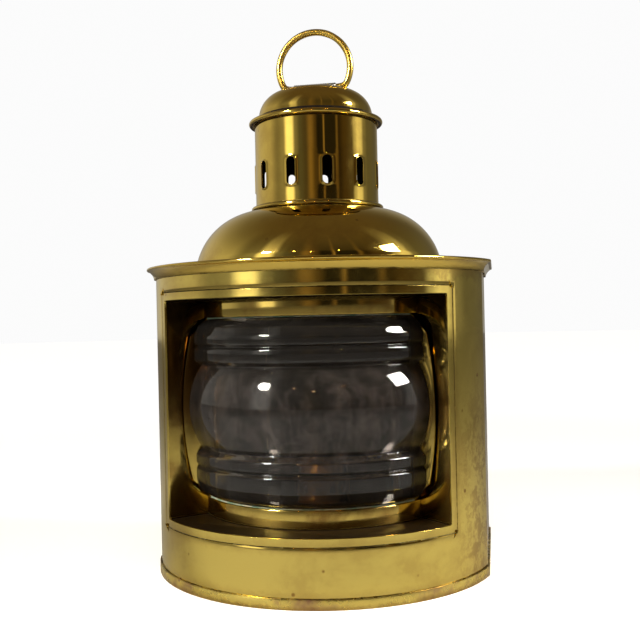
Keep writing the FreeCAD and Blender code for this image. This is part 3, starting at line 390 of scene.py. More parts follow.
def body_seams(tree, place):
    """Dirt round the window strip and over the base, and rust low on the right side."""
    dirt, tarnish = finish().grime, finish().tarnish
    base = box("base_pan")[1].z
    window = window_distance(tree, place)
    thin = broken(tree, place, 55, 0.15)
    yield band(tree, place, window, 4.2 * MM, 1.6, 0.25), tarnish, 0.3
    yield band(tree, place, window, 0.4 * MM, 0.9, thin), dirt, 0.6
    yield level_band(tree, place, base, 4 * MM, 1.6, 0.25), tarnish, 0.3
    yield level_band(tree, place, base, 0.4 * MM, 0.9, thin), dirt, 0.6
    side = tree.axes(place)[0]
    patch = level_band(tree, place, box("body_shell")[1].z - 3.5 * MM, 8 * MM, 2.5,
                       tree.ramp(side, 30 * MM, 75 * MM))
    yield tree.times(patch, 0.5), tarnish, 0.4
    flank = tree.ramp(side, 66 * MM, 80 * MM)
    level = tree.ramp(height_above(tree, place, 0.0), 118 * MM, 52 * MM)
    speckle = tree.math("MULTIPLY_ADD", tree.noise(place, 420, 3, 0.7), 0.5,
                        tree.noise(place, 60, 5, 0.7, 0.8))
    rust = tree.times(flank, tree.ramp(speckle, 0.66, 0.86))
    yield tree.times(rust, tree.times(level, 0.6)), tarnish, 0.35


def base_seams(tree, place):
    thin = broken(tree, place, 60, 0.1, 0.8)
    yield level_band(tree, place, box("base_pan")[1].z, 0.5 * MM, 1.2, thin), finish().grime, 0.6
    yield level_band(tree, place, 0.0, 2.6 * MM, 1.8, 0.6), finish().tarnish, 0.5


def recess_shade_and_grime(tree, place):
    """Painted shade in the window recess: darkening towards its back and a deep brown over its
    wings; also darker bands along the shelf's top and the ceiling's underside.
    """
    # painted shade: darker nearer the lens at the back of the recess, in the tarnish colour broken
    # up by noise
    spot = tree.axes(place)
    away = tree.length(tree.add("ShaderNodeCombineXYZ", spot[0], spot[1], 0.0))
    haze = tree.ramp(tree.noise(place, 60, 5, 0.65), 0.25, 0.7, 0.5)
    haze = tree.times(tree.ramp(away, 78 * MM, 62 * MM), haze)
    yield tree.times(haze, 0.35), finish().tarnish, 0.3
    # painted shade: deep brown over the wings at the recess's sides, more of it higher up, broken
    # into clouds
    side = tree.ramp(tree.math("ABSOLUTE", spot[0]), 50 * MM, 54 * MM)
    cloud = tree.ramp(tree.noise(place, 24, 4, 0.6, 0.5), 0.3, 0.62, 0.55)
    wavy = tree.math("MULTIPLY_ADD", tree.noise(place, 18, 2), 30 * MM, spot[2])
    upper = tree.ramp(wavy, 58 * MM, 92 * MM, 0.15)
    stain = tree.times(tree.times(side, cloud), upper)
    yield tree.times(stain, 0.93), finish().wing, 0.1
    # darker bands along the shelf's top and the ceiling's underside
    grime = finish().grime
    yield level_band(tree, place, box("window_shelf")[1].z, 1.1 * MM, 1.3), grime, 0.6
    yield level_band(tree, place, box("window_ceiling")[0].z, 1.6 * MM, 1.3), grime, 0.6


def hood_seams(tree, place):
    """Dirt round the dome's foot, the chimney's foot ring and the cap's rim."""
    dirt = finish().grime
    edge = box("dome")[1].x
    ring_low, ring_high = box("chimney_foot_ring")
    thin = broken(tree, place, 55, 0.2)
    flat = tree.add("ShaderNodeVectorMath", place, (1.0, 1.0, 0.0), operation="MULTIPLY")
    near = tree.ramp(tree.length(flat), edge + 1.6 * MM, edge + 0.4 * MM)
    foot = level_band(tree, place, box("dome")[0].z, 0.6 * MM, 0.9, near)
    yield tree.times(foot, thin), dirt, 0.6
    yield level_band(tree, place, ring_low.z, 1.2 * MM, 1.4, 0.8), dirt, 0.5
    yield level_band(tree, place, ring_high.z, 0.7 * MM, 1.4, 0.8), dirt, 0.5
    yield level_band(tree, place, box("chimney_cap")[0].z, 0.5 * MM, 0.9), dirt, 0.5
    yield level_band(tree, place, box("top_plate")[0].z, 0.7 * MM, 1.4, thin), dirt, 0.6


def slot_material(slot):
    """Finish for one material slot, made the first time it is wanted."""
    name = slot + "_finish"
    made = bpy.data.materials.get(name)
    if made:
        return made
    if slot in OTHER_FINISHES:
        return OTHER_FINISHES[slot](name)
    metal, tarnish, *amounts = BRASS_FINISHES[slot]
    return brass(name, getattr(finish(), metal), getattr(finish(), tarnish), *amounts)


def lens_glass(name):
    """Glass, tinted dark as painted shade of the lamp room behind it, with a film of dust that
    lies thickest on the middle of the bulge.
    """
    made, tree, shader, place = new_material(name)
    look = finish()
    streaks = tree.add("ShaderNodeMapping", place)
    streaks.inputs["Scale"].default_value = (150, 150, 26)
    wiped = tree.noise(streaks, 1.0, 5, 0.65, 0.4)
    smear = tree.noise(place, 75, 6, 0.7, 1.4)
    low, high = box("fresnel_lens")
    away = tree.math("ABSOLUTE", height_above(tree, place, (low.z + high.z) / 2 - 3 * MM))
    middle = tree.ramp(away, 30 * MM, 12 * MM, 0.12)
    film = tree.ramp(tree.math("MULTIPLY_ADD", wiped, 0.6, smear), 0.62, 0.98)
    film = tree.times(film, middle)
    specks = tree.add("ShaderNodeTexVoronoi", in_Vector=place, in_Scale=420.0)
    seed = tree.add("ShaderNodeSeparateColor", specks.outputs["Color"]).outputs[0]
    speck = tree.times(tree.math("LESS_THAN", specks.outputs["Distance"], 0.16),
                      tree.math("LESS_THAN", seed, 0.06))
    film = tree.math("MAXIMUM", film, tree.times(speck, 0.8))
    tree.join(tree.mix(film, rgba(look.glass), rgba(look.dust)), shader.inputs["Base Color"])
    tree.join(tree.math("MULTIPLY_ADD", film, 0.12, 0.012), shader.inputs["Roughness"])
    tree.join(0.97, shader.inputs["Transmission Weight"])
    tree.join(1.5, shader.inputs["IOR"])
    waves = tree.add("ShaderNodeBump", in_Strength=0.12, in_Distance=0.5 * MM,
                     in_Height=tree.noise(place, 55, 2, 0.5))
    tree.join(waves, shader.inputs["Normal"])
    return made


def putty(name):
    made, tree, shader, place = new_material(name)
    stain = tree.ramp(tree.noise(place, 160, 5, 0.7), 0.42, 0.62)
    shade = tree.mix(stain, rgba(finish().putty), rgba(finish().verdigris))
    tree.join(shade, shader.inputs["Base Color"])
    tree.join(0.85, shader.inputs["Roughness"])
    lumps = tree.add("ShaderNodeBump", in_Strength=0.9, in_Distance=0.4 * MM,
                     in_Height=tree.noise(place, 420, 5, 0.7))
    tree.join(lumps, shader.inputs["Normal"])
    return made


def cotton(name):
    """Flat woven wick, charred towards its top edge."""
    made, tree, shader, place = new_material(name)
    high = box("wick")[1].z
    char = tree.ramp(height_above(tree, place, high), -7 * MM, -1 * MM)
    warp = tree.add("ShaderNodeTexWave", in_Vector=place, in_Scale=420.0, in_Distortion=1.5)
    weft = tree.add("ShaderNodeTexWave", in_Vector=place, in_Scale=420.0, bands_direction="Z")
    weave = tree.times(warp.outputs["Fac"], weft.outputs["Fac"])
    thread = tree.mix(weave, rgba([0.6 * part for part in finish().cotton]),
                      rgba(finish().cotton))
    tree.join(tree.mix(char, thread, rgba(finish().soot)), shader.inputs["Base Color"])
    tree.join(0.95, shader.inputs["Roughness"])
    relief = tree.add("ShaderNodeBump", in_Strength=0.8, in_Distance=0.2 * MM, in_Height=weave)
    tree.join(relief, shader.inputs["Normal"])
    return made


# metal, tarnish, clouds, spots, polish, film, bump and any seams (masks of dirt, and in the recess
# of painted shade)
BRASS_FINISHES = {
    "body_brass": ("brass", "tarnish", 0.3, 0.9, 0.09, 0.09, 0.12, body_seams),
    "base_brass": ("brass", "bloom", 1.0, 0.8, 0.2, 0.16, 0.3, base_seams),
    "recess_brass": ("brass", "tarnish", 0.7, 0.4, 0.08, 0.1, 0.16, recess_shade_and_grime),
    "hood_brass": ("hood", "tarnish", 0.3, 0.5, 0.035, 0.06, 0.1, hood_seams),
    "handle_brass": ("hood", "tarnish", 0.6, 0.3, 0.24, 0.12, 0.05),
    "back_brass": ("brass", "tarnish", 0.5, 0.8, 0.22, 0.18, 0.25),
    "rivet_brass": ("brass", "tarnish", 1.0, 0.2, 0.26, 0.16, 0.3),
    "fitting_brass": ("brass", "tarnish", 0.9, 0.5, 0.24, 0.16, 0.3),
    # sooty insides: real soot and painted shade of the closed lamp room
    "inside_brass": ("soot", "soot", 1.0, 0.0, 0.55, 0.2, 0.5),
    "lamp_brass": ("tarnish", "soot", 1.2, 0.5, 0.38, 0.2, 0.4),
    "burner_brass": ("tarnish", "soot", 1.4, 0.5, 0.45, 0.2, 0.4),
    "sleeve_metal": ("steel", "tarnish", 0.9, 0.3, 0.3, 0.16, 0.4),
    # near-black reflector: painted shade of the lamp room
    "reflector_tin": ("tin", "soot", 0.8, 0.6, 0.3, 0.3, 0.4),
    "pin_steel": ("steel", "tarnish", 0.8, 0.2, 0.32, 0.2, 0.4),
}
OTHER_FINISHES = {"lens_glass": lens_glass, "glazing_putty": putty, "wick_cotton": cotton}


# ---------------------------------------------------------------- mesh helpers

def skin(mesh, rows, looped=False, spans=None):
    """Faces between each row of points and the next, all round the row or on some spans."""
    for here, following in zip(rows, rows[1:] + rows[:1] if looped else rows[1:]):
        for index in spans or range(len(here)):
            after = (index + 1) % len(here)
            mesh.faces.new((here[index], here[after], following[after], following[index]))


def fillet(points, radius, steps=4):
    """Closed outline with every corner rounded; radius is one value or one for each corner."""
    result = []
    count = len(points)
    for index, corner in enumerate(points):
        corner = Vector(corner)
        wanted = radius[index] if isinstance(radius, (list, tuple)) else radius
        back = Vector(points[index - 1]) - corner
        ahead = Vector(points[(index + 1) % count]) - corner
        half = back.angle(ahead) / 2
        if wanted <= 0 or half > 1.5:
            result.append(corner)
            continue
        reach = min(wanted / math.tan(half), 0.46 * back.length, 0.46 * ahead.length)
        back.normalize()
        ahead.normalize()
        size = reach * math.tan(half)
        centre = corner + (back + ahead).normalized() * (size / math.sin(half))
        start = corner + back * reach - centre
        end = corner + ahead * reach - centre
        for step in range(steps + 1):
            result.append(centre + start.lerp(end, step / steps).normalized() * size)
    return result


def arc(centre, radius, first, last, steps):
    """Points on an arc in a plane, from one angle in degrees to another."""
    turns = [math.radians(first + (last - first) * step / steps) for step in range(steps + 1)]
    return [(centre[0] + radius * math.cos(turn), centre[1] + radius * math.sin(turn))
            for turn in turns]


def turned(profile, half_angle=math.pi, steps=192, centre_y=0.0):
    """Closed (radius, height) profile turned about the upright axis, evenly about the front."""
    mesh = bmesh.new()
    full = half_angle > 3.14
    count = steps if full else steps + 1
    rows = []
    for number in range(count):
        turn = -half_angle + 2 * half_angle * number / steps
        rows.append([mesh.verts.new((radius * math.sin(turn), centre_y - radius * math.cos(turn),
                                     height)) for radius, height in profile])
    skin(mesh, rows, looped=full)
    if not full:
        mesh.faces.new(rows[0])
        mesh.faces.new(rows[-1][::-1])
    return mesh


def folds(mesh, sharp):
    """Edges between two faces that meet at more than an angle in degrees."""
    return [edge for edge in mesh.edges
            if len(edge.link_faces) == 2 and edge.calc_face_angle(0) > math.radians(sharp)]


def tidy(mesh, sharp):
    """Merges doubles, turns the faces outwards and marks the sharp edges."""
    bmesh.ops.remove_doubles(mesh, verts=mesh.verts, dist=MERGE)
    bmesh.ops.dissolve_degenerate(mesh, edges=mesh.edges, dist=0.002 * MM)
    bmesh.ops.recalc_face_normals(mesh, faces=mesh.faces)
    bmesh.ops.delete(mesh, geom=[edge for edge in mesh.edges if edge.is_wire], context="EDGES")
    for face in mesh.faces:
        face.smooth = True
        face.material_index = 0
    for edge in mesh.edges:
        edge.smooth = True
    for edge in folds(mesh, sharp):
        edge.smooth = False


def soften(mesh, width, sharp):
    """Rounds the edges sharper than an angle."""
    bmesh.ops.remove_doubles(mesh, verts=mesh.verts, dist=MERGE)
    bmesh.ops.recalc_face_normals(mesh, faces=mesh.faces)
    edges = folds(mesh, sharp)
    if edges and width > 0:
        bmesh.ops.bevel(mesh, geom=edges, offset=width, segments=2, profile=0.5,
                        affect="EDGES", clamp_overlap=True)


def finish_piece(name, mesh, slot, nodes, body="lantern_body", inside=None, sharp=32,
                 look=None):
    """Makes the object, gives it its finishes and puts it on its body in place of CAD nodes.

    inside is a test for the faces that take the sooty finish, which is partly painted shade; look
    is a finish other than the slot's own.
    """
    tidy(mesh, sharp)
    if inside is not None:
        for face in mesh.faces:
            if inside(face.calc_center_median(), face.normal):
                face.material_index = 1
    data = bpy.data.meshes.new(name)
    mesh.to_mesh(data)
    mesh.free()
    data.materials.append(slot_material(look or slot))
    if inside is not None:
        data.materials.append(slot_material("inside_brass"))
    made = bpy.data.objects.new(name, data)
    bpy.context.scene.collection.objects.link(made)
    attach(made, body)
    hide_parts(*nodes)


def cad_copy(node):
    """Merged copy of a CAD node's mesh."""
    mesh = bmesh.new()
    mesh.from_mesh(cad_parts[node].data)
    bmesh.ops.remove_doubles(mesh, verts=mesh.verts, dist=0.002 * MM)
    return mesh


def softened_copy(node, width, sharp=30):
    """The CAD node's shape with flat faces joined and its edges rounded."""
    mesh = cad_copy(node)
    bmesh.ops.dissolve_limit(mesh, angle_limit=SAME_PLANE, verts=mesh.verts, edges=mesh.edges)
    soften(mesh, width, sharp)
    return mesh


def refined(node, slot, body, width=None, inside=None):
    mesh = softened_copy(node, sizes().edge_wear if width is None else width)
    finish_piece(node + "_shape", mesh, slot, [node], body, inside)


def islands(node):
    """Lowest and highest corner of each separate solid of a CAD node."""
    mesh = cad_copy(node)
    left = set(mesh.verts)
    found = []
    while left:
        reach = [left.pop()]
        spots = []
        while reach:
            vert = reach.pop()
            spots.append(vert.co.copy())
            for edge in vert.link_edges:
                other = edge.other_vert(vert)
                if other in left:
                    left.discard(other)
                    reach.append(other)
        found.append((Vector([min(spot[axis] for spot in spots) for axis in range(3)]),
                      Vector([max(spot[axis] for spot in spots) for axis in range(3)])))
    mesh.free()
    return sorted(found, key=lambda pair: tuple(pair[0]))


# ---------------------------------------------------------------- geometry-node helpers

def copies_tree(name, linear):
    """Tree that repeats its own geometry round the upright axis, or along +X."""
    group = bpy.data.node_groups.new(name, "GeometryNodeTree")
    socket(group, "Geometry", "Geometry")
    socket(group, "Count", "Int", default=10)
    socket(group, "Turn", "Float", default=0.0)
    socket(group, "Pitch", "Float", default=0.001)
    socket(group, "Merge", "Float", default=0.00001)
    socket(group, "Material", "Material")
    socket(group, "Geometry", "Geometry", "OUTPUT")
    tree = Tree(group)
    given = tree.add("NodeGroupInput").outputs
    index = tree.add("GeometryNodeInputIndex")
    if linear:
        middle = tree.times(tree.math("SUBTRACT", given["Count"], 1.0), 0.5)
        along = tree.times(tree.math("SUBTRACT", index, middle), given["Pitch"])
        spot = tree.add("ShaderNodeCombineXYZ", along, 0.0, 0.0)
        turn = (0.0, 0.0, 0.0)
    else:
        spot = (0.0, 0.0, 0.0)
        step = tree.math("DIVIDE", FULL, given["Count"])
        swing = tree.math("MULTIPLY_ADD", index, step, given["Turn"])
        turn = tree.add("ShaderNodeCombineXYZ", 0.0, 0.0, swing)
    points = tree.add("GeometryNodePoints", given["Count"], spot)
    placed = tree.add("GeometryNodeInstanceOnPoints", in_Points=points,
                      in_Instance=given["Geometry"], in_Rotation=turn)
    solid = tree.add("GeometryNodeRealizeInstances", placed)
    merged = tree.add("GeometryNodeMergeByDistance", in_Geometry=solid,
                      in_Distance=given["Merge"])
    painted = tree.add("GeometryNodeSetMaterial", in_Geometry=merged,
                       in_Material=given["Material"])
    tree.add("NodeGroupOutput", painted)
    return group


def heads_tree(name):
    """Tree that puts a domed rivet head on every point of its own mesh."""
    group = bpy.data.node_groups.new(name, "GeometryNodeTree")
    socket(group, "Geometry", "Geometry")
    socket(group, "Radius", "Float", default=0.002)
    socket(group, "Flatness", "Float", default=0.45)
    socket(group, "Material", "Material")
    socket(group, "Geometry", "Geometry", "OUTPUT")
    tree = Tree(group)
    given = tree.add("NodeGroupInput").outputs
    ball = tree.add("GeometryNodeMeshUVSphere", 20, 12, given["Radius"])
    squash = tree.add("ShaderNodeCombineXYZ", 1.0, given["Flatness"], 1.0)
    head = tree.add("GeometryNodeTransform", in_Geometry=ball.outputs["Mesh"], in_Scale=squash)
    placed = tree.add("GeometryNodeInstanceOnPoints", in_Points=given["Geometry"],
                      in_Instance=head)
    solid = tree.add("GeometryNodeRealizeInstances", placed)
    round_off = tree.add("GeometryNodeSetShadeSmooth", solid)
    painted = tree.add("GeometryNodeSetMaterial", in_Geometry=round_off,
                       in_Material=given["Material"])
    tree.add("NodeGroupOutput", painted)
    return group


def modified(name, mesh, modifiers):
    """Runs modifiers, given by kind and settings, on a mesh and returns the plain result."""
    data = bpy.data.meshes.new(name + "_seed")
    mesh.to_mesh(data)
    mesh.free()
    seed = bpy.data.objects.new(name + "_seed", data)
    bpy.context.scene.collection.objects.link(seed)
    for kind, settings in modifiers:
        modifier = seed.modifiers.new(kind, kind)
        for key, setting in settings.items():
            if key == "values":
                for item in modifier.node_group.interface.items_tree:
                    wanted = item.item_type == "SOCKET" and item.in_out == "INPUT"
                    if wanted and item.name in setting:
                        modifier[item.identifier] = setting[item.name]
            else:
                setattr(modifier, key, setting)
    bpy.context.view_layer.update()
    evaluated = seed.evaluated_get(bpy.context.evaluated_depsgraph_get())
    result = bpy.data.meshes.new_from_object(evaluated)
    bpy.data.objects.remove(seed)
    bpy.data.meshes.remove(data)
    mesh = bmesh.new()
    mesh.from_mesh(result)
    bpy.data.meshes.remove(result)
    return mesh


def grown(group, values):
    """Modifier that runs a node tree with values for its inputs."""
    return "NODES", {"node_group": group, "values": values}


def walled(thickness, bevel, segments=2, limit=40):
    """Modifiers that give a sheet its thickness, inwards, and round its edges."""
    return [("SOLIDIFY", {"thickness": thickness, "offset": -1.0, "use_even_offset": True}),
            ("BEVEL", {"width": bevel, "segments": segments, "limit_method": "ANGLE",
                       "angle_limit": math.radians(limit)})]


# ---------------------------------------------------------------- the body's plan

def plan_runs():
    """Arcs and lines of the body's plan on the right-hand side, from the middle of the front."""
    size = sizes()
    low, high = box("body_shell")
    centre = low.y + size.front_radius
    corner = size.side_corner
    half = high.x
    back = high.y
    inner = size.front_radius - corner
    turn = math.asin((half - corner) / inner)
    pivot = Vector(((half - corner), centre - inner * math.cos(turn)))
    rear = size.back_corner
    return [("arc", Vector((0.0, centre)), size.front_radius, 0.0, turn),
            ("arc", pivot, corner, turn, math.pi / 2),
            ("line", Vector((half, pivot.y)), Vector((half, back - rear))),
            ("arc", Vector((half - rear, back - rear)), rear, math.pi / 2, math.pi),
            ("line", Vector((half - rear, back)), Vector((0.0, back)))]


def run_length(run):
    if run[0] == "arc":
        return run[2] * (run[4] - run[3])
    return (run[2] - run[1]).length


def plan_point(travel, grow=0.0):
    """Point of the plan at a distance along the body's outline from the middle of the front."""
    side = -1 if travel < 0 else 1
    left = abs(travel)
    runs = plan_runs()
    for run in runs:
        size = run_length(run)
        if left <= size or run is runs[-1]:
            break
        left -= size
    if run[0] == "arc":
        turn = run[3] + left / run[2]
        normal = Vector((math.sin(turn), -math.cos(turn)))
        spot = run[1] + normal * (run[2] + grow)
    else:
        along = (run[2] - run[1]).normalized()
        normal = Vector((along.y, -along.x))
        spot = run[1] + along * left + normal * grow
    return Vector((side * spot.x, spot.y))


def spread(stops, counts):
    """Stations from the first stop to the last, with a number of steps between each two."""
    result = [stops[0]]
    for first, last, count in zip(stops, stops[1:], counts):
        result += [first + (last - first) * step / count for step in range(1, count + 1)]
    return result


def mirrored(stations):
    return [-station for station in reversed(stations[1:])] + stations


def plan_stations():
    """Stations round the right half of the plan, from the front to the middle of the back."""
    total = [0.0]
    for run in plan_runs():
        total.append(total[-1] + run_length(run))
    return spread(total, (64, 8, 6, 6, 16))


def window_sheet(across, up, hole, corner, outside=0.0):
    """Sheet on a grid of stations with a window left out; the window's corners are rounded.

    outside also rounds the sheet's own outer corners.
    """
    left, right, low, high = hole
    rounded = [(corner, (left, right), (low, high))]
    if outside > 0:
        rounded.append((outside, (across[0], across[-1]), (up[0], up[-1])))
    mesh = bmesh.new()
    verts = {}
    for u in across:
        for v in up:
            spot = Vector((u, v))
            for radius, sides, ends in rounded:
                for cu, su in zip(sides, (1, -1)):
                    for cv, sv in zip(ends, (1, -1)):
                        spot = rounded_spot(spot, cu, su, cv, sv, radius)
            verts[u, v] = mesh.verts.new((*plan_point(spot.x), spot.y))
    slack = 0.01 * MM
    for u0, u1 in zip(across, across[1:]):
        for v0, v1 in zip(up, up[1:]):
            within = left - slack < u0 and u1 < right + slack
            if within and low - slack < v0 and v1 < high + slack:
                continue
            mesh.faces.new((verts[u0, v0], verts[u1, v0], verts[u1, v1], verts[u0, v1]))
    loose = [vert for vert in mesh.verts if not vert.link_faces]
    bmesh.ops.delete(mesh, geom=loose, context="VERTS")
    return mesh


def rounded_spot(spot, cu, su, cv, sv, radius):
    """Moves a grid point on a square corner's two edges on to a rounded corner."""
    du = (spot.x - cu) * su
    dv = (spot.y - cv) * sv
    slack = 0.01 * MM
    if min(du, dv) < -slack or max(du, dv) > radius + slack or min(du, dv) > slack:
        return spot
    share = (radius + du - dv) / (2 * radius)
    turn = math.pi / 2 * share
    return Vector((cu + su * radius * (1 - math.cos(turn)),
                   cv + sv * radius * (1 - math.sin(turn))))


def thickened(name, mesh, *wall):
    for face in mesh.faces:
        face.smooth = True
    return modified(name, mesh, walled(*wall))


def forward(spot, normal):
    """Test for faces that look into the lamp room from the back."""
    return normal.y < -0.5


def inward(spot, normal):
    """Test for faces that look towards the upright axis."""
    out = Vector((spot.x, spot.y))
    return normal.x * out.x + normal.y * out.y < -0.4 * out.length


# ---------------------------------------------------------------- pieces

class LANTERN_OT_body(bpy.types.Operator):
    """Body sheet with its window opening, and the flush strip that frames the window"""
    bl_idname = "lantern.body"
    bl_label = "Body"

    def execute(self, context):
        size = sizes()
        low, high = box("body_shell")
        strip_low, strip_high = box("window_frame")
        edge = size.front_radius * size.window_angle + size.window_flange
        corner = size.window_corner
        gap = size.seam
        runs = [run_length(run) for run in plan_runs()]
        side = runs[0]
        total = sum(runs)
        reach = total - high.x + size.back_corner + size.return_flange
        stops = [0.0, edge - corner, edge, side, side + runs[1], sum(runs[:3]),
                 sum(runs[:4]), reach]
        across = mirrored(spread(stops, (56, 6, 14, 8, 6, 6, 3)))
        up = spread([low.z, strip_low.z, strip_low.z + corner, strip_high.z - corner,
                     strip_high.z, high.z], (10, 6, 40, 6, 6))
        shell = window_sheet(across, up, (-edge, edge, strip_low.z, strip_high.z), corner)
        shell = thickened("body", shell, size.sheet, 0.12 * MM)
        centre = low.y + size.front_radius

        def inner(spot, normal):
            hollow = Vector((spot.x, spot.y - centre))
            if spot.y < centre - 20 * MM:
                return normal.x * hollow.x + normal.y * hollow.y < -0.5 * hollow.length
            return abs(spot.x) < high.x - 0.6 * size.sheet and spot.y < high.y - 0.6 * size.sheet

        finish_piece("body_sheet", shell, "body_brass", ["body_shell"], inside=inner)
        outer = edge - gap
        inside = size.front_radius * size.window_angle
        ledge = size.window_flange - gap
        tight = corner - gap
        inner_corner = 1.3 * MM
        across = mirrored(spread([0.0, inside - inner_corner, inside, outer - tight, outer],
                                 (56, 3, 4, 6)))
        bottom, top = strip_low.z + gap, strip_high.z - gap
        up = spread([bottom, bottom + tight, bottom + ledge, bottom + ledge + inner_corner,
                     top - ledge - inner_corner, top - ledge, top - tight, top],
                    (6, 4, 3, 40, 3, 4, 6))
        window = (-inside, inside, bottom + ledge, top - ledge)
        strip = window_sheet(across, up, window, inner_corner, tight)
        strip = thickened("strip", strip, size.sheet, size.fold, 4)
        finish_piece("window_strip", strip, "body_brass", ["window_frame"], inside=inner)
        refined("base_pan", "base_brass", "lantern_body", 0.3 * MM)
        return {"FINISHED"}


class LANTERN_OT_recess(bpy.types.Operator):
    """Side wings, shelf, ceiling and the two collars that seat the lens"""
    bl_idname = "lantern.recess"
    bl_label = "Window recess"

    def execute(self, context):
        for node in ("left_wing", "right_wing", "window_shelf", "window_ceiling"):
            refined(node, "recess_brass", "lantern_body", 0.12 * MM)
        wall = sizes().sheet
        for node, up in (("lower_lens_collar", 1), ("upper_lens_collar", -1)):
            low, high = box(node)
            foot, seat = (low.z, high.z) if up > 0 else (high.z, low.z)
            radius = -low.y
            half = math.asin(high.x / radius)
            profile = [(radius - wall, foot), (radius - wall, seat - up * wall),
                       (LENS_INNER, seat - up * wall), (LENS_INNER, seat), (radius, seat),
                       (radius, foot)]
            corners = [0.2 * MM, 0.1 * MM, 0.3 * MM, 0.3 * MM, 0.55 * MM, 0.2 * MM]
            collar = turned(fillet(profile, corners, 3), half, 96)
            finish_piece(node + "_spun", collar, "recess_brass", [node], inside=inward)
        return {"FINISHED"}


class LANTERN_OT_lens(bpy.types.Operator):
    """Pressed glass lens with its ribs and bulge, its bed of putty and its two cheeks"""
    bl_idname = "lantern.lens"
    bl_label = "Lens"

    def execute(self, context):
        low, high = box("fresnel_lens")
        half = math.asin(high.x / -low.y)
        bottom, top, belly = low.z, high.z, -low.y
        belly_low, belly_high = bottom + BELLY_RISE, top - BELLY_DROP
        bulge = belly - LENS_NOTCH
        tall = (belly_high - belly_low) / 2
        curve = (tall ** 2 + bulge ** 2) / (2 * bulge)
        lean = math.degrees(math.asin(tall / curve))
        swell = arc((belly - curve, (belly_low + belly_high) / 2), curve, -lean, lean, 28)[2:-2]
        # radius, height and rounding in millimetres of each corner, from the foot up
        points = [(LENS_INNER, bottom, 0.8), (LENS_SEAT, bottom, 0.6),
                  (LENS_RIB - 2.2 * MM, bottom + 3.4 * MM, 4.0),
                  (LENS_RIB, bottom + 8.5 * MM, 3.5), *self.groove(bottom + SPLIT_RISE),
                  (LENS_RIB, belly_low - 2.2 * MM, 2.2), (LENS_NOTCH, belly_low, 0.5)]
        points += [(*spot, 0.0) for spot in swell]
        points += [(LENS_NOTCH, belly_high, 0.5), (LENS_RIB, belly_high + 2.2 * MM, 2.2),
                   *self.groove(top - SPLIT_DROP), (LENS_RIB, top - 8.5 * MM, 3.5),
                   (LENS_RIB - 2.2 * MM, top - 3.4 * MM, 4.0), (LENS_SEAT, top, 0.6),
                   (LENS_INNER, top, 0.8)]
        outline = fillet([spot[:2] for spot in points], [spot[2] * MM for spot in points], 6)
        finish_piece("lens", turned(outline, half, 150), "lens_glass", ["fresnel_lens"],
                     inside=self.cut_end, sharp=60)
        self.beds(half, bottom, top)
        for node in ("left_lens_channel", "right_lens_channel"):
            self.cheek(node)
        return {"FINISHED"}

    def groove(self, level):
        """Corners of the narrow groove between two ribs."""
        return [(LENS_RIB, level - 1.2 * MM, 1.6), (LENS_RIB - 1.6 * MM, level, 0.35),
                (LENS_RIB, level + 1.2 * MM, 1.6)]

    def cut_end(self, spot, normal):
        """Test for the faces of the glass that sit in its channels."""
        across = abs(normal.x * spot.x + normal.y * spot.y) / math.hypot(spot.x, spot.y)
        return max(across, abs(normal.z)) < 0.2

    def beds(self, half, bottom, top):
        """Putty squeezed out unevenly along both edges of the glass."""
        mesh = bmesh.new()
        inner = LENS_INNER + 0.4 * MM
        steps = 120
        for edge, up in ((bottom, -1), (top, 1)):
            rows = []
            for number in range(steps + 1):
                turn = half * (-1 + 2 * number / steps)
                near = abs(turn) / half
                lump = 0.5 + 0.5 * math.sin(number * 1.7) * math.sin(number * 0.61 + 1.0)
                swell = (0.1 + 0.5 * lump * near ** 14) * MM
                out = LENS_SEAT + swell * 1.6
                thick = 0.3 * MM + swell * 0.7
                profile = fillet([(inner, edge), (out, edge - up * swell * 0.8),
                                  (out, edge + up * thick), (inner, edge + up * thick)],
                                 0.12 * MM, 2)
                rows.append([mesh.verts.new((radius * math.sin(turn), -radius * math.cos(turn),
                                             height)) for radius, height in profile])
            skin(mesh, rows)
            mesh.faces.new(rows[0])
            mesh.faces.new(rows[-1][::-1])
        finish_piece("putty_beds", mesh, "glazing_putty", ["lens_putty"])

    def cheek(self, node):
        """Flat cheek with a wired hem along its outer edge."""
        size = sizes()
        mesh = softened_copy(node, 0.15 * MM, 50)
        rim = sorted({(round(math.hypot(vert.co.x, vert.co.y), 6), round(vert.co.z, 6))
                      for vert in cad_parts[node].data.vertices
                      if math.hypot(vert.co.x, vert.co.y) > CHEEK_RIM},
                     key=lambda spot: spot[1])
        line = []
        for radius, height in rim:
            if line and abs(height - line[-1][1]) < 0.3 * MM:
                line[-1] = (max(radius, line[-1][0]), height)
            else:
                line.append((radius, height))
        turn = math.atan2(sum(vert.co.x for vert in mesh.verts),
                          -sum(vert.co.y for vert in mesh.verts))
        out = Vector((math.sin(turn), -math.cos(turn), 0.0))
        path = [out * (radius - size.hem * 0.6) + Vector((0, 0, height))
                for radius, height in line]
        wire = tube(path, size.hem, 10, Vector((out.y, -out.x, 0.0)))
        data = bpy.data.meshes.new("hem")
        wire.to_mesh(data)
        wire.free()
        mesh.from_mesh(data)
        bpy.data.meshes.remove(data)
        finish_piece(node.split("_")[0] + "_cheek", mesh, "recess_brass", [node])


def tube(path, radius, around, across):
    """Closed round bar along an open path that stays in the plane square to across."""
    mesh = bmesh.new()
    rows = []
    for index, spot in enumerate(path):
        ahead = path[min(index + 1, len(path) - 1)] - path[max(index - 1, 0)]
        side = ahead.normalized().cross(across).normalized()
        rows.append([mesh.verts.new(spot + (side * math.cos(FULL * step / around)
                                            + across * math.sin(FULL * step / around)) * radius)
                     for step in range(around)])
    skin(mesh, rows)
    mesh.faces.new(rows[0][::-1])
    mesh.faces.new(rows[-1])
    return mesh


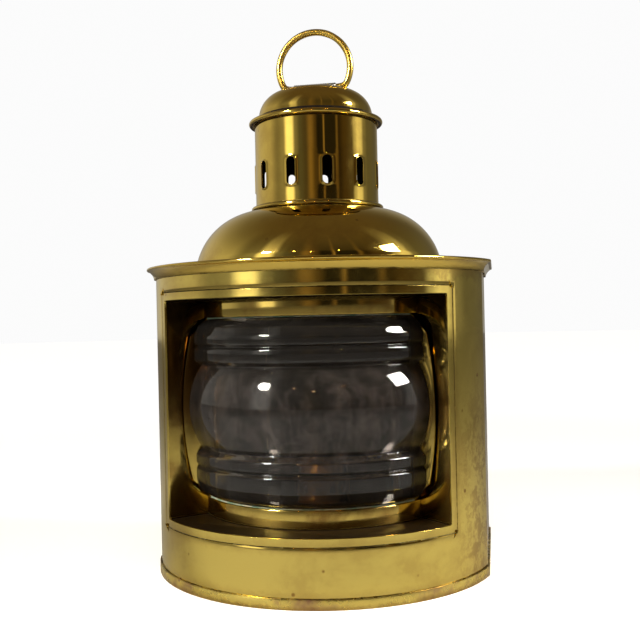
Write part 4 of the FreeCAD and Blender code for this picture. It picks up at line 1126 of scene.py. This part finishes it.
class LANTERN_OT_hood(bpy.types.Operator):
    """Top plate with its rolled edge and cove, the dome, and the bead at the chimney's foot"""
    bl_idname = "lantern.hood"
    bl_label = "Top plate and dome"

    def execute(self, context):
        self.plate()
        self.dome()
        low, high = box("chimney_foot_ring")
        bead = (high.z - low.z) / 2
        ring = turned(arc((high.x - bead, low.z + bead), bead, 0, 345, 23), steps=160)
        finish_piece("chimney_bead", ring, "hood_brass", ["chimney_foot_ring"])
        return {"FINISHED"}

    def plate(self):
        size = sizes()
        low, high = box("top_plate")
        body_low, body_high = box("body_shell")
        over = body_low.y - low.y
        back_over = high.y - body_high.y
        top = high.z
        rim = size.plate_rim
        stations = mirrored(plan_stations())[1:]
        fit = 0.1 * MM
        cove = [(1.0 * MM, low.z), (1.15 * MM, low.z + 0.9 * MM), (1.5 * MM, low.z + 1.8 * MM),
                (2.1 * MM, low.z + 2.7 * MM), (3.0 * MM, low.z + 3.6 * MM),
                (over - 0.8 * MM, low.z + 4.15 * MM)]
        edge = [(over - rim / 2 + rim / 2 * math.sin(math.radians(turn)),
                 top - rim / 2 - rim / 2 * math.cos(math.radians(turn)))
                for turn in range(20, 181, 20)]
        roll = cove + edge + [(over - 1.4 * MM, top - 0.12 * MM),
                              (over - 2.6 * MM, top - 0.3 * MM),
                              (over - 4.5 * MM, top - 0.3 * MM)]
        mesh = bmesh.new()

        def ring(grow, height):
            return [mesh.verts.new((*self.grown_plan(station, grow, over, back_over), height))
                    for station in stations]

        def disc(radius, height):
            return [mesh.verts.new((*(plan_point(station).normalized() * radius), height))
                    for station in stations]

        loops = [ring(*spot) for spot in roll]
        loops += [disc(PLATE_HOLE + 7 * MM, top - 0.3 * MM), disc(PLATE_HOLE, top - 0.3 * MM),
                  disc(PLATE_HOLE, top - size.sheet), ring(fit, top - size.sheet),
                  ring(fit, low.z)]
        skin(mesh, loops, looped=True)
        finish_piece("top_sheet", mesh, "hood_brass", ["top_plate"], sharp=45)

    def grown_plan(self, station, grow, over, back_over):
        """Point of the plan grown outwards, with less growth at the back."""
        spot = plan_point(station, grow)
        back = box("body_shell")[1].y
        if spot.y > back and grow > back_over:
            share = (spot.y - back) / grow
            spot.y = back + share * back_over
        return spot

    def dome(self):
        size = sizes()
        low, high = box("dome")
        radius = high.x
        curve = size.dome_curve
        tilt = math.radians(75)
        middle = (radius - curve * math.sin(tilt), low.z + size.dome_foot - curve * math.cos(tilt))
        neck = box("chimney")[1].x

        def crown(bend):
            return math.degrees(math.acos((neck - middle[0]) / bend))

        def under(spot, normal):
            reach = math.hypot(spot.x, spot.y)
            below = math.hypot(reach - middle[0], spot.z - middle[1]) < curve - DOME_WALL / 2
            return below and reach < radius - 0.5 * MM

        outer = [(radius - 0.2 * MM, low.z), (radius, low.z + 1.2 * MM)]
        outer += arc(middle, curve, 15, crown(curve), 44)
        inner = arc(middle, curve - DOME_WALL, crown(curve - DOME_WALL), 15, 30)
        inner += [(radius - 0.5 * MM - DOME_WALL, low.z)]
        finish_piece("dome_spun", turned(outer + inner, steps=224), "hood_brass", ["dome"],
                     inside=under)


class LANTERN_OT_chimney(bpy.types.Operator):
    """Chimney with its ring of slots, and the spun cap with its rolled rim"""
    bl_idname = "lantern.chimney"
    bl_label = "Chimney and cap"

    def execute(self, context):
        self.wall()
        self.cap()
        return {"FINISHED"}

    def wall(self):
        size = sizes()
        low, high = box("chimney")
        radius = high.x
        half = math.pi * radius / SLOT_COUNT
        level = box("top_plate")[1].z + SLOT_RISE
        zone = size.slot_height / 2 + 4 * MM
        mesh = bmesh.new()
        rows = self.slot_rows(size.slot_width / 2, size.slot_height / 2, half, zone)

        def place(spot, lift=0.0):
            turn = spot.x / radius
            reach = radius + lift
            return mesh.verts.new((reach * math.sin(turn), -reach * math.cos(turn),
                                   level + spot.y))

        lips = (1.0, 0.92, 0.62, 0.28, 0.07, 0.0, 0.0, 0.0, 0.0)
        nets = [[place(spot, size.slot_lip * lip) for spot in row]
                for row, lip in zip(rows, lips)]
        around = len(rows[0])
        for here, following in zip(nets, nets[1:]):
            for index in range(around):
                after = (index + 1) % around
                mesh.faces.new((here[index], following[index], following[after], here[after]))
        for edge, stop, steps in ((zone, high.z - level, 7), (-zone, low.z - level, 9)):
            line = sorted({round(spot.x, 8) for spot in rows[-1]
                           if abs(spot.y - edge) < 0.001 * MM})
            levels = [edge + (stop - edge) * step / steps for step in range(steps + 1)]
            skin(mesh, [[place(Vector((x, z))) for x in line] for z in levels],
                 spans=range(len(line) - 1))
        bmesh.ops.remove_doubles(mesh, verts=mesh.verts, dist=0.005 * MM)
        bmesh.ops.recalc_face_normals(mesh, faces=mesh.faces)
        if sum(face.normal.dot(face.calc_center_median()) for face in mesh.faces) < 0:
            bmesh.ops.reverse_faces(mesh, faces=mesh.faces)
        values = {"Count": SLOT_COUNT, "Turn": math.radians(SLOT_TURN), "Merge": 0.01 * MM,
                  "Material": slot_material("hood_brass")}
        shell = modified("chimney_wall", mesh,
                         [grown(copies_tree("round_the_axis", False), values),
                          *walled(CHIMNEY_WALL, 0.1 * MM, limit=50)])
        finish_piece("chimney_wall", shell, "hood_brass", ["chimney"], inside=inward)

    def slot_rows(self, wide, tall, half, zone):
        """Closed rows of points from a round-ended slot out to the edge of its share."""
        straight = tall - wide
        first = []
        last = []
        steps = 8
        ends = 24
        for side in (1, -1):
            for step in range(steps):
                height = side * (-straight + 2 * straight * step / steps)
                first.append(Vector((side * wide, height)))
                last.append(Vector((side * half, height)))
            corner = math.atan2(zone - straight, half)
            for step in range(ends):
                turn = math.pi * step / ends
                ray = Vector((math.cos(turn), math.sin(turn)))
                nearest = min((corner, math.pi - corner), key=lambda stop: abs(stop - turn))
                if abs(nearest - turn) < math.pi / ends * 0.501:
                    ray = Vector((math.cos(nearest), math.sin(nearest)))
                reach = min(half / max(abs(ray.x), 1e-9), (zone - straight) / max(ray.y, 1e-9))
                spot = Vector((wide * math.cos(turn), straight + wide * math.sin(turn)))
                far = Vector((ray.x * reach, straight + ray.y * reach))
                first.append(spot * side)
                last.append(far * side)
        shares = (0.0, 0.035, 0.08, 0.14, 0.22, 0.34, 0.52, 0.75, 1.0)
        return [[near.lerp(far, share) for near, far in zip(first, last)] for share in shares]

    def cap(self):
        size = sizes()
        low, high = box("chimney_cap")
        neck = box("chimney")[1].x
        top = high.z
        curve = size.cap_curve
        bead = size.cap_bead
        rim = (high.x - bead, low.z + bead)
        centre = (CAP_FLAT, top - curve)
        outer = [(0.0, top), (CAP_FLAT * 0.5, top - 0.02 * MM),
                 (CAP_FLAT * 0.8, top - 0.12 * MM)]
        outer += arc(centre, curve, 84, 10, 26)
        foot = rim[1] + bead + 0.5 * MM
        knee = outer[-1]
        outer += [(knee[0] + 0.25 * MM, (knee[1] * 2 + foot) / 3),
                  (knee[0] + 0.75 * MM, foot + 0.35 * MM), (knee[0] + 1.9 * MM, foot - 0.1 * MM),
                  (rim[0] - 0.5 * MM, rim[1] + bead * 0.97)]
        outer += arc(rim, bead, 70, -150, 18)
        lining = [(neck + 0.3 * MM, rim[1] - bead * 0.5), (neck + 0.3 * MM, rim[1] + bead * 0.4)]
        lining += arc(centre, curve - CHIMNEY_WALL, 8, 86, 20)
        lining += [(0.0, top - CHIMNEY_WALL)]

        def lined(spot, normal):
            reach = math.hypot(spot.x, spot.y)
            back = normal.x * spot.x + normal.y * spot.y < -0.6 * reach
            return normal.z < -0.2 and reach < neck or back and reach < neck + 0.5 * MM

        finish_piece("cap_spun", turned(outer + lining, steps=192), "hood_brass",
                     ["chimney_cap"], inside=lined)


class LANTERN_OT_handle(bpy.types.Operator):
    """Carrying ring and the finely ribbed sleeve that holds it"""
    bl_idname = "lantern.handle"
    bl_label = "Handle"

    def execute(self, context):
        size = sizes()
        low, high = box("handle_saddle")
        ring_low, ring_high = box("ring_handle")
        wire = ring_high.y
        bar = ring_low.z + wire
        crest = high.y
        pitch = size.rib_pitch
        dip = crest - 0.36 * MM
        bore = wire + 0.08 * MM
        rib = [(dip, -pitch / 2), (crest - 0.05 * MM, -pitch * 0.22), (crest, 0.0),
               (crest - 0.05 * MM, pitch * 0.22), (dip, pitch / 2), (bore, -pitch / 2),
               (bore, pitch / 2)]
        mesh = bmesh.new()
        around = 40
        rows = []
        for number in range(around):
            turn = FULL * number / around
            rows.append([mesh.verts.new((along, radius * math.sin(turn),
                                         radius * math.cos(turn))) for radius, along in rib])
        skin(mesh, rows, looped=True, spans=(0, 1, 2, 3, 5))
        values = {"Count": int((high.x - low.x) / pitch), "Pitch": pitch, "Merge": 0.01 * MM,
                  "Material": slot_material("sleeve_metal")}
        sleeve = modified("handle_sleeve", mesh,
                          [grown(copies_tree("along_the_bar", True), values)])
        bmesh.ops.translate(sleeve, verts=sleeve.verts, vec=(0, 0, bar))
        for end in (-1, 1):
            rims = [edge for edge in sleeve.edges
                    if edge.is_boundary and edge.verts[0].co.x * end > 0]
            bmesh.ops.bridge_loops(sleeve, edges=rims)
        foot = bmesh.ops.create_cube(sleeve, size=1.0)["verts"]
        half = (high.x - low.x) / 2 - 0.6 * MM
        for vert in foot:
            vert.co = Vector((vert.co.x * 2 * half, vert.co.y * 2 * (crest - 0.3 * MM),
                              low.z + (vert.co.z + 0.5) * (bar - bore * 0.75 - low.z)))
        finish_piece("handle_sleeve", sleeve, "handle_brass", ["handle_saddle"], sharp=60,
                     look="sleeve_metal")
        self.ring(ring_high, wire, bar)
        return {"FINISHED"}

    def ring(self, high, wire, bar):
        """Wire bent to a ring with one straight side, a little thinner in places."""
        radius = high.x - wire
        centre = high.z - wire - radius
        drop = centre - bar
        straight = math.sqrt(radius ** 2 - drop ** 2)
        path = []
        steps = 132
        start = math.atan2(-drop, straight)
        sweep = math.pi - 2 * start
        for step in range(steps + 1):
            turn = start + sweep * step / steps
            path.append((radius * math.cos(turn), centre + radius * math.sin(turn)))
        path += [(-straight * (1 - 2 * step / 24), bar) for step in range(1, 24)]
        smooth = self.relaxed(path)
        mesh = bmesh.new()
        around = 20
        count = len(smooth)
        rows = []
        for index, spot in enumerate(smooth):
            ahead = (smooth[(index + 1) % count] - smooth[index - 1]).normalized()
            side = Vector((ahead.y, -ahead.x))
            thin = wire * (1 - 0.05 * (0.5 + 0.5 * math.sin(index * 0.31))
                           * (0.5 + 0.5 * math.sin(index * 0.13 + 1)))
            row = []
            for step in range(around):
                turn = FULL * step / around
                out = side * math.cos(turn) * thin
                row.append(mesh.verts.new((spot.x + out.x, math.sin(turn) * thin,
                                           spot.y + out.y)))
            rows.append(row)
        skin(mesh, rows, looped=True)
        finish_piece("carrying_ring", mesh, "handle_brass", ["ring_handle"], "ring_handle",
                     sharp=80)

    def relaxed(self, path):
        """Closed path with its corners smoothed."""
        points = [Vector(spot) for spot in path]
        for _ in range(10):
            points = [(points[index - 1] + points[index] * 2
                       + points[(index + 1) % len(points)]) / 4 for index in range(len(points))]
        return points


class LANTERN_OT_back(bpy.types.Operator):
    """Back panel, door, hinges, catch and bracket socket with their rivets"""
    bl_idname = "lantern.back"
    bl_label = "Back and door"

    def execute(self, context):
        refined("back_panel", "back_brass", "lantern_body", inside=forward)
        refined("door", "back_brass", "door", inside=forward)
        for node, slot in (("frame_hinge_leaves", "fitting_brass"),
                           ("hinge_pins", "pin_steel"), ("catch_pivot", "fitting_brass"),
                           ("hanging_socket", "fitting_brass"), ("font_ring", "inside_brass")):
            refined(node, slot, "lantern_body")
        for node, slot in (("reflector", "reflector_tin"),
                           ("door_hinge_leaves", "fitting_brass")):
            refined(node, slot, "door")
        refined("door_knob", "handle_brass", "door", 0.6 * MM)
        refined("turn_catch", "fitting_brass", "turn_catch", 0.35 * MM)
        self.rivets("body_rivets", "lantern_body",
                    ["back_panel_rivets", "frame_hinge_rivets", "hanging_socket_rivets"])
        self.rivets("door_rivets", "door", ["reflector_rivets", "door_hinge_rivets"])
        return {"FINISHED"}

    def rivets(self, name, body, nodes):
        """Domed heads of one size, that of the last rivet listed."""
        mesh = bmesh.new()
        for node in nodes:
            for low, high in islands(node):
                middle = (low + high) / 2
                radius = (high.x - low.x) / 2
                mesh.verts.new((middle.x, low.y + 0.05 * MM, middle.z))
        tree = bpy.data.node_groups.get("rivet_heads") or heads_tree("rivet_heads")
        values = {"Radius": radius, "Flatness": 0.45, "Material": slot_material("rivet_brass")}
        heads = modified(name, mesh, [grown(tree, values)])
        finish_piece(name, heads, "rivet_brass", nodes, body, sharp=80)


class LANTERN_OT_lamp(bpy.types.Operator):
    """Oil tank, filler and burner inside the body"""
    bl_idname = "lantern.lamp"
    bl_label = "Lamp"

    def execute(self, context):
        for node, slot, body in (
                ("font", "lamp_brass", "lamp"), ("font_collar", "lamp_brass", "lamp"),
                ("filler_neck", "lamp_brass", "lamp"), ("burner_base", "burner_brass", "lamp"),
                ("wick_tube", "burner_brass", "lamp"),
                ("burner_deflector", "burner_brass", "lamp"),
                ("filler_cap", "lamp_brass", "filler_cap"), ("wick", "wick_cotton", "wick"),
                ("wick_shaft", "burner_brass", "wick_winder"),
                ("wick_wheels", "burner_brass", "wick_winder"),
                ("wick_knob", "burner_brass", "wick_winder")):
            refined(node, slot, body, 0.15 * MM)
        return {"FINISHED"}


class LANTERN_OT_stage(bpy.types.Operator):
    """Pale floor, soft studio light and the camera"""
    bl_idname = "lantern.stage"
    bl_label = "Stage"

    def execute(self, context):
        self.floor()
        self.room()
        self.lights()
        self.camera(context)
        return {"FINISHED"}

    def floor(self):
        mesh = bmesh.new()
        bmesh.ops.create_circle(mesh, cap_ends=True, segments=96, radius=6.0)
        bmesh.ops.translate(mesh, verts=mesh.verts, vec=(0, 0, CAD_BOX[0][2]))
        data = bpy.data.meshes.new("floor")
        mesh.to_mesh(data)
        mesh.free()
        ground = bpy.data.objects.new("floor", data)
        bpy.context.scene.collection.objects.link(ground)
        made, tree, shader, place = new_material("floor_paint")
        seen = tree.add("ShaderNodeLightPath").outputs["Is Camera Ray"]
        # painted reflection: to the metal the floor shows at four tenths of its colour, as a
        # darker table; to the eye it is pale
        shade = tree.mix(seen, rgba([0.4 * part for part in finish().floor]),
                         rgba(finish().floor))
        tree.join(shade, shader.inputs["Base Color"])
        tree.join(0.9, shader.inputs["Roughness"])
        # painted light: the floor glows, weakly near the lantern and nearly white far off, to fade
        # into the backdrop; other rays get a twentieth of it
        glow = tree.ramp(tree.length(place), 0.12, 1.1, 0.42, 0.95)
        glow = tree.times(glow, tree.ramp(seen, 0.0, 1.0, 0.05, 1.0))
        tree.join(tree.mix(glow, (0, 0, 0, 1), (1, 1, 1, 1)), shader.inputs["Emission Color"])
        tree.join(0.9, shader.inputs["Emission Strength"])
        data.materials.append(made)

    def room(self):
        """Pale backdrop to the eye; a dim studio with two soft windows to the metal."""
        world = bpy.data.worlds.new("studio")
        bpy.context.scene.world = world
        world.use_nodes = True
        tree = Tree(world.node_tree)
        base = world.node_tree.nodes["Background"]
        look = tree.add("ShaderNodeTexCoord").outputs["Generated"]
        axes = tree.axes(look)
        turn = tree.math("ARCTAN2", axes[0], tree.times(axes[1], -1.0))
        around = tree.math("MULTIPLY_ADD", turn, 1 / FULL, 0.5)
        strip = tree.add("ShaderNodeValToRGB", around)
        # bearing in degrees from the front, brightness, and warmth from 0 to 1
        steps = [(-180, 0.30, 0), (-120, 0.55, 0), (-85, 0.55, 0), (-66, 0.26, 0),
                 (-52, 0.32, 0), (-44, 1.60, 0), (-35, 1.50, 0), (-28, 0.24, 0),
                 (-18, 0.10, 0), (-8, 0.08, 0.5), (0, 0.24, 1), (9, 0.08, 1), (14, 0.015, 0.5),
                 (23, 0.02, 0.5), (25, 0.35, 1), (27, 0.02, 0.5), (46, 0.02, 0.5), (50, 0.16, 1),
                 (54, 0.03, 1), (65, 0.07, 1), (80, 0.10, 0.5), (87, 0.60, 0), (94, 1.00, 0),
                 (102, 0.90, 0), (110, 0.24, 0), (122, 0.13, 0), (150, 0.12, 0), (180, 0.30, 0)]
        ramp = strip.color_ramp
        ramp.interpolation = "EASE"
        for bearing, level, warm in steps:
            spot = 0.5 + bearing / 360
            ends = {0.0: ramp.elements[0], 1.0: ramp.elements[-1]}
            element = ends.get(spot) or ramp.elements.new(spot)
            element.color = (level, level * (0.95 - 0.3 * warm), level * (0.85 - 0.55 * warm), 1.0)
        overhead = tree.ramp(axes[2], 0.3, 0.75)
        ceiling = tree.mix(1.0, strip.outputs[0], (0.26, 0.26, 0.26, 1.0), "MULTIPLY")
        ceiling = tree.mix(1.0, ceiling, (0.065, 0.05, 0.034, 1.0), "ADD")
        ceiling = tree.mix(tree.ramp(axes[2], 0.62, 0.95), ceiling, (0.11, 0.08, 0.05, 1.0))
        lit = tree.mix(overhead, strip.outputs[0], ceiling)
        seen = tree.add("ShaderNodeLightPath").outputs["Is Camera Ray"]
        tree.join(tree.mix(seen, lit, (0.97, 0.97, 0.97, 1.0)), base.inputs["Color"])

    def lights(self):
        for name, spot, size, power, tint in (
                ("left_softbox", (-0.75, -0.9, 0.75), 0.2, 1.6, (1.0, 0.95, 0.86)),
                ("right_softbox", (1.1, -0.1, 0.74), 0.34, 1.9, (1.0, 0.96, 0.9)),
                ("left_lamp", (-0.32, -1.5, 0.95), 0.035, 0.5, (1.0, 0.55, 0.2)),
                ("middle_lamp", (0.12, -1.7, 0.9), 0.035, 0.5, (1.0, 0.5, 0.16)),
                ("right_lamp", (0.75, -1.3, 1.0), 0.035, 0.5, (1.0, 0.55, 0.2)),
                ("floor_fill", (0.1, -0.6, 1.8), 1.0, 9.0, (1.0, 0.98, 0.95))):
            data = bpy.data.lights.new(name, "AREA")
            data.shape = "SQUARE" if name == "right_softbox" else "DISK"
            data.size = size
            data.energy = power
            data.color = tint
            if name.endswith("softbox"):
                data.spread = math.radians(55)
            lamp = bpy.data.objects.new(name, data)
            lamp.location = spot
            lamp.visible_glossy = name != "floor_fill"
            aim = Vector((0, -0.05, 0.12)) - Vector(spot)
            lamp.rotation_euler = aim.to_track_quat("-Z", "Y").to_euler()
            bpy.context.scene.collection.objects.link(lamp)

    def camera(self, context):
        data = bpy.data.cameras.new("view")
        data.lens = 51.0
        data.sensor_width = 36.0
        eye = bpy.data.objects.new("view", data)
        turn, pitch, roll = 0.1916, 0.002, -0.0218
        reach, rise = 0.46869, 0.1262
        ahead = Vector((-math.sin(turn), math.cos(turn), 0.0))
        right = Vector((math.cos(turn), math.sin(turn), 0.0))
        up = Vector((0.0, 0.0, 1.0))
        look = ahead * math.cos(pitch) - up * math.sin(pitch)
        crown = up * math.cos(pitch) + ahead * math.sin(pitch)
        across = right * math.cos(roll) + crown * math.sin(roll)
        crown = crown * math.cos(roll) - right * math.sin(roll)
        eye.matrix_world = Matrix(((across.x, crown.x, -look.x, -ahead.x * reach),
                                   (across.y, crown.y, -look.y, -ahead.y * reach),
                                   (across.z, crown.z, -look.z, rise), (0, 0, 0, 1)))
        context.scene.collection.objects.link(eye)
        context.scene.camera = eye
        context.scene.view_settings.view_transform = "Standard"


OPERATORS = (LANTERN_OT_body, LANTERN_OT_recess, LANTERN_OT_lens, LANTERN_OT_hood,
             LANTERN_OT_chimney, LANTERN_OT_handle, LANTERN_OT_back, LANTERN_OT_lamp,
             LANTERN_OT_stage)


class LANTERN_PT_panel(bpy.types.Panel):
    """Buttons for the lantern's pieces, and the sizes and colours they use"""
    bl_idname = "LANTERN_PT_panel"
    bl_label = "Ship Lantern"
    bl_space_type = "VIEW_3D"
    bl_region_type = "UI"
    bl_category = "Lantern"

    def draw(self, context):
        for kind in OPERATORS:
            self.layout.operator(kind.bl_idname)
        for group in (context.scene.lantern_sizes, context.scene.lantern_finish):
            column = self.layout.box()
            for word in group.__annotations__:
                column.prop(group, word)


CLASSES = (LanternSizes, LanternFinish, *OPERATORS, LANTERN_PT_panel)


def register():
    for kind in CLASSES:
        bpy.utils.register_class(kind)
    bpy.types.Scene.lantern_sizes = bpy.props.PointerProperty(type=LanternSizes)
    bpy.types.Scene.lantern_finish = bpy.props.PointerProperty(type=LanternFinish)


def unregister():
    del bpy.types.Scene.lantern_finish
    del bpy.types.Scene.lantern_sizes
    for kind in reversed(CLASSES):
        bpy.utils.unregister_class(kind)


def main():
    register()
    for kind in OPERATORS:
        group, word = kind.bl_idname.split(".")
        getattr(getattr(bpy.ops, group), word)()


if __name__ == "__main__":
    main()
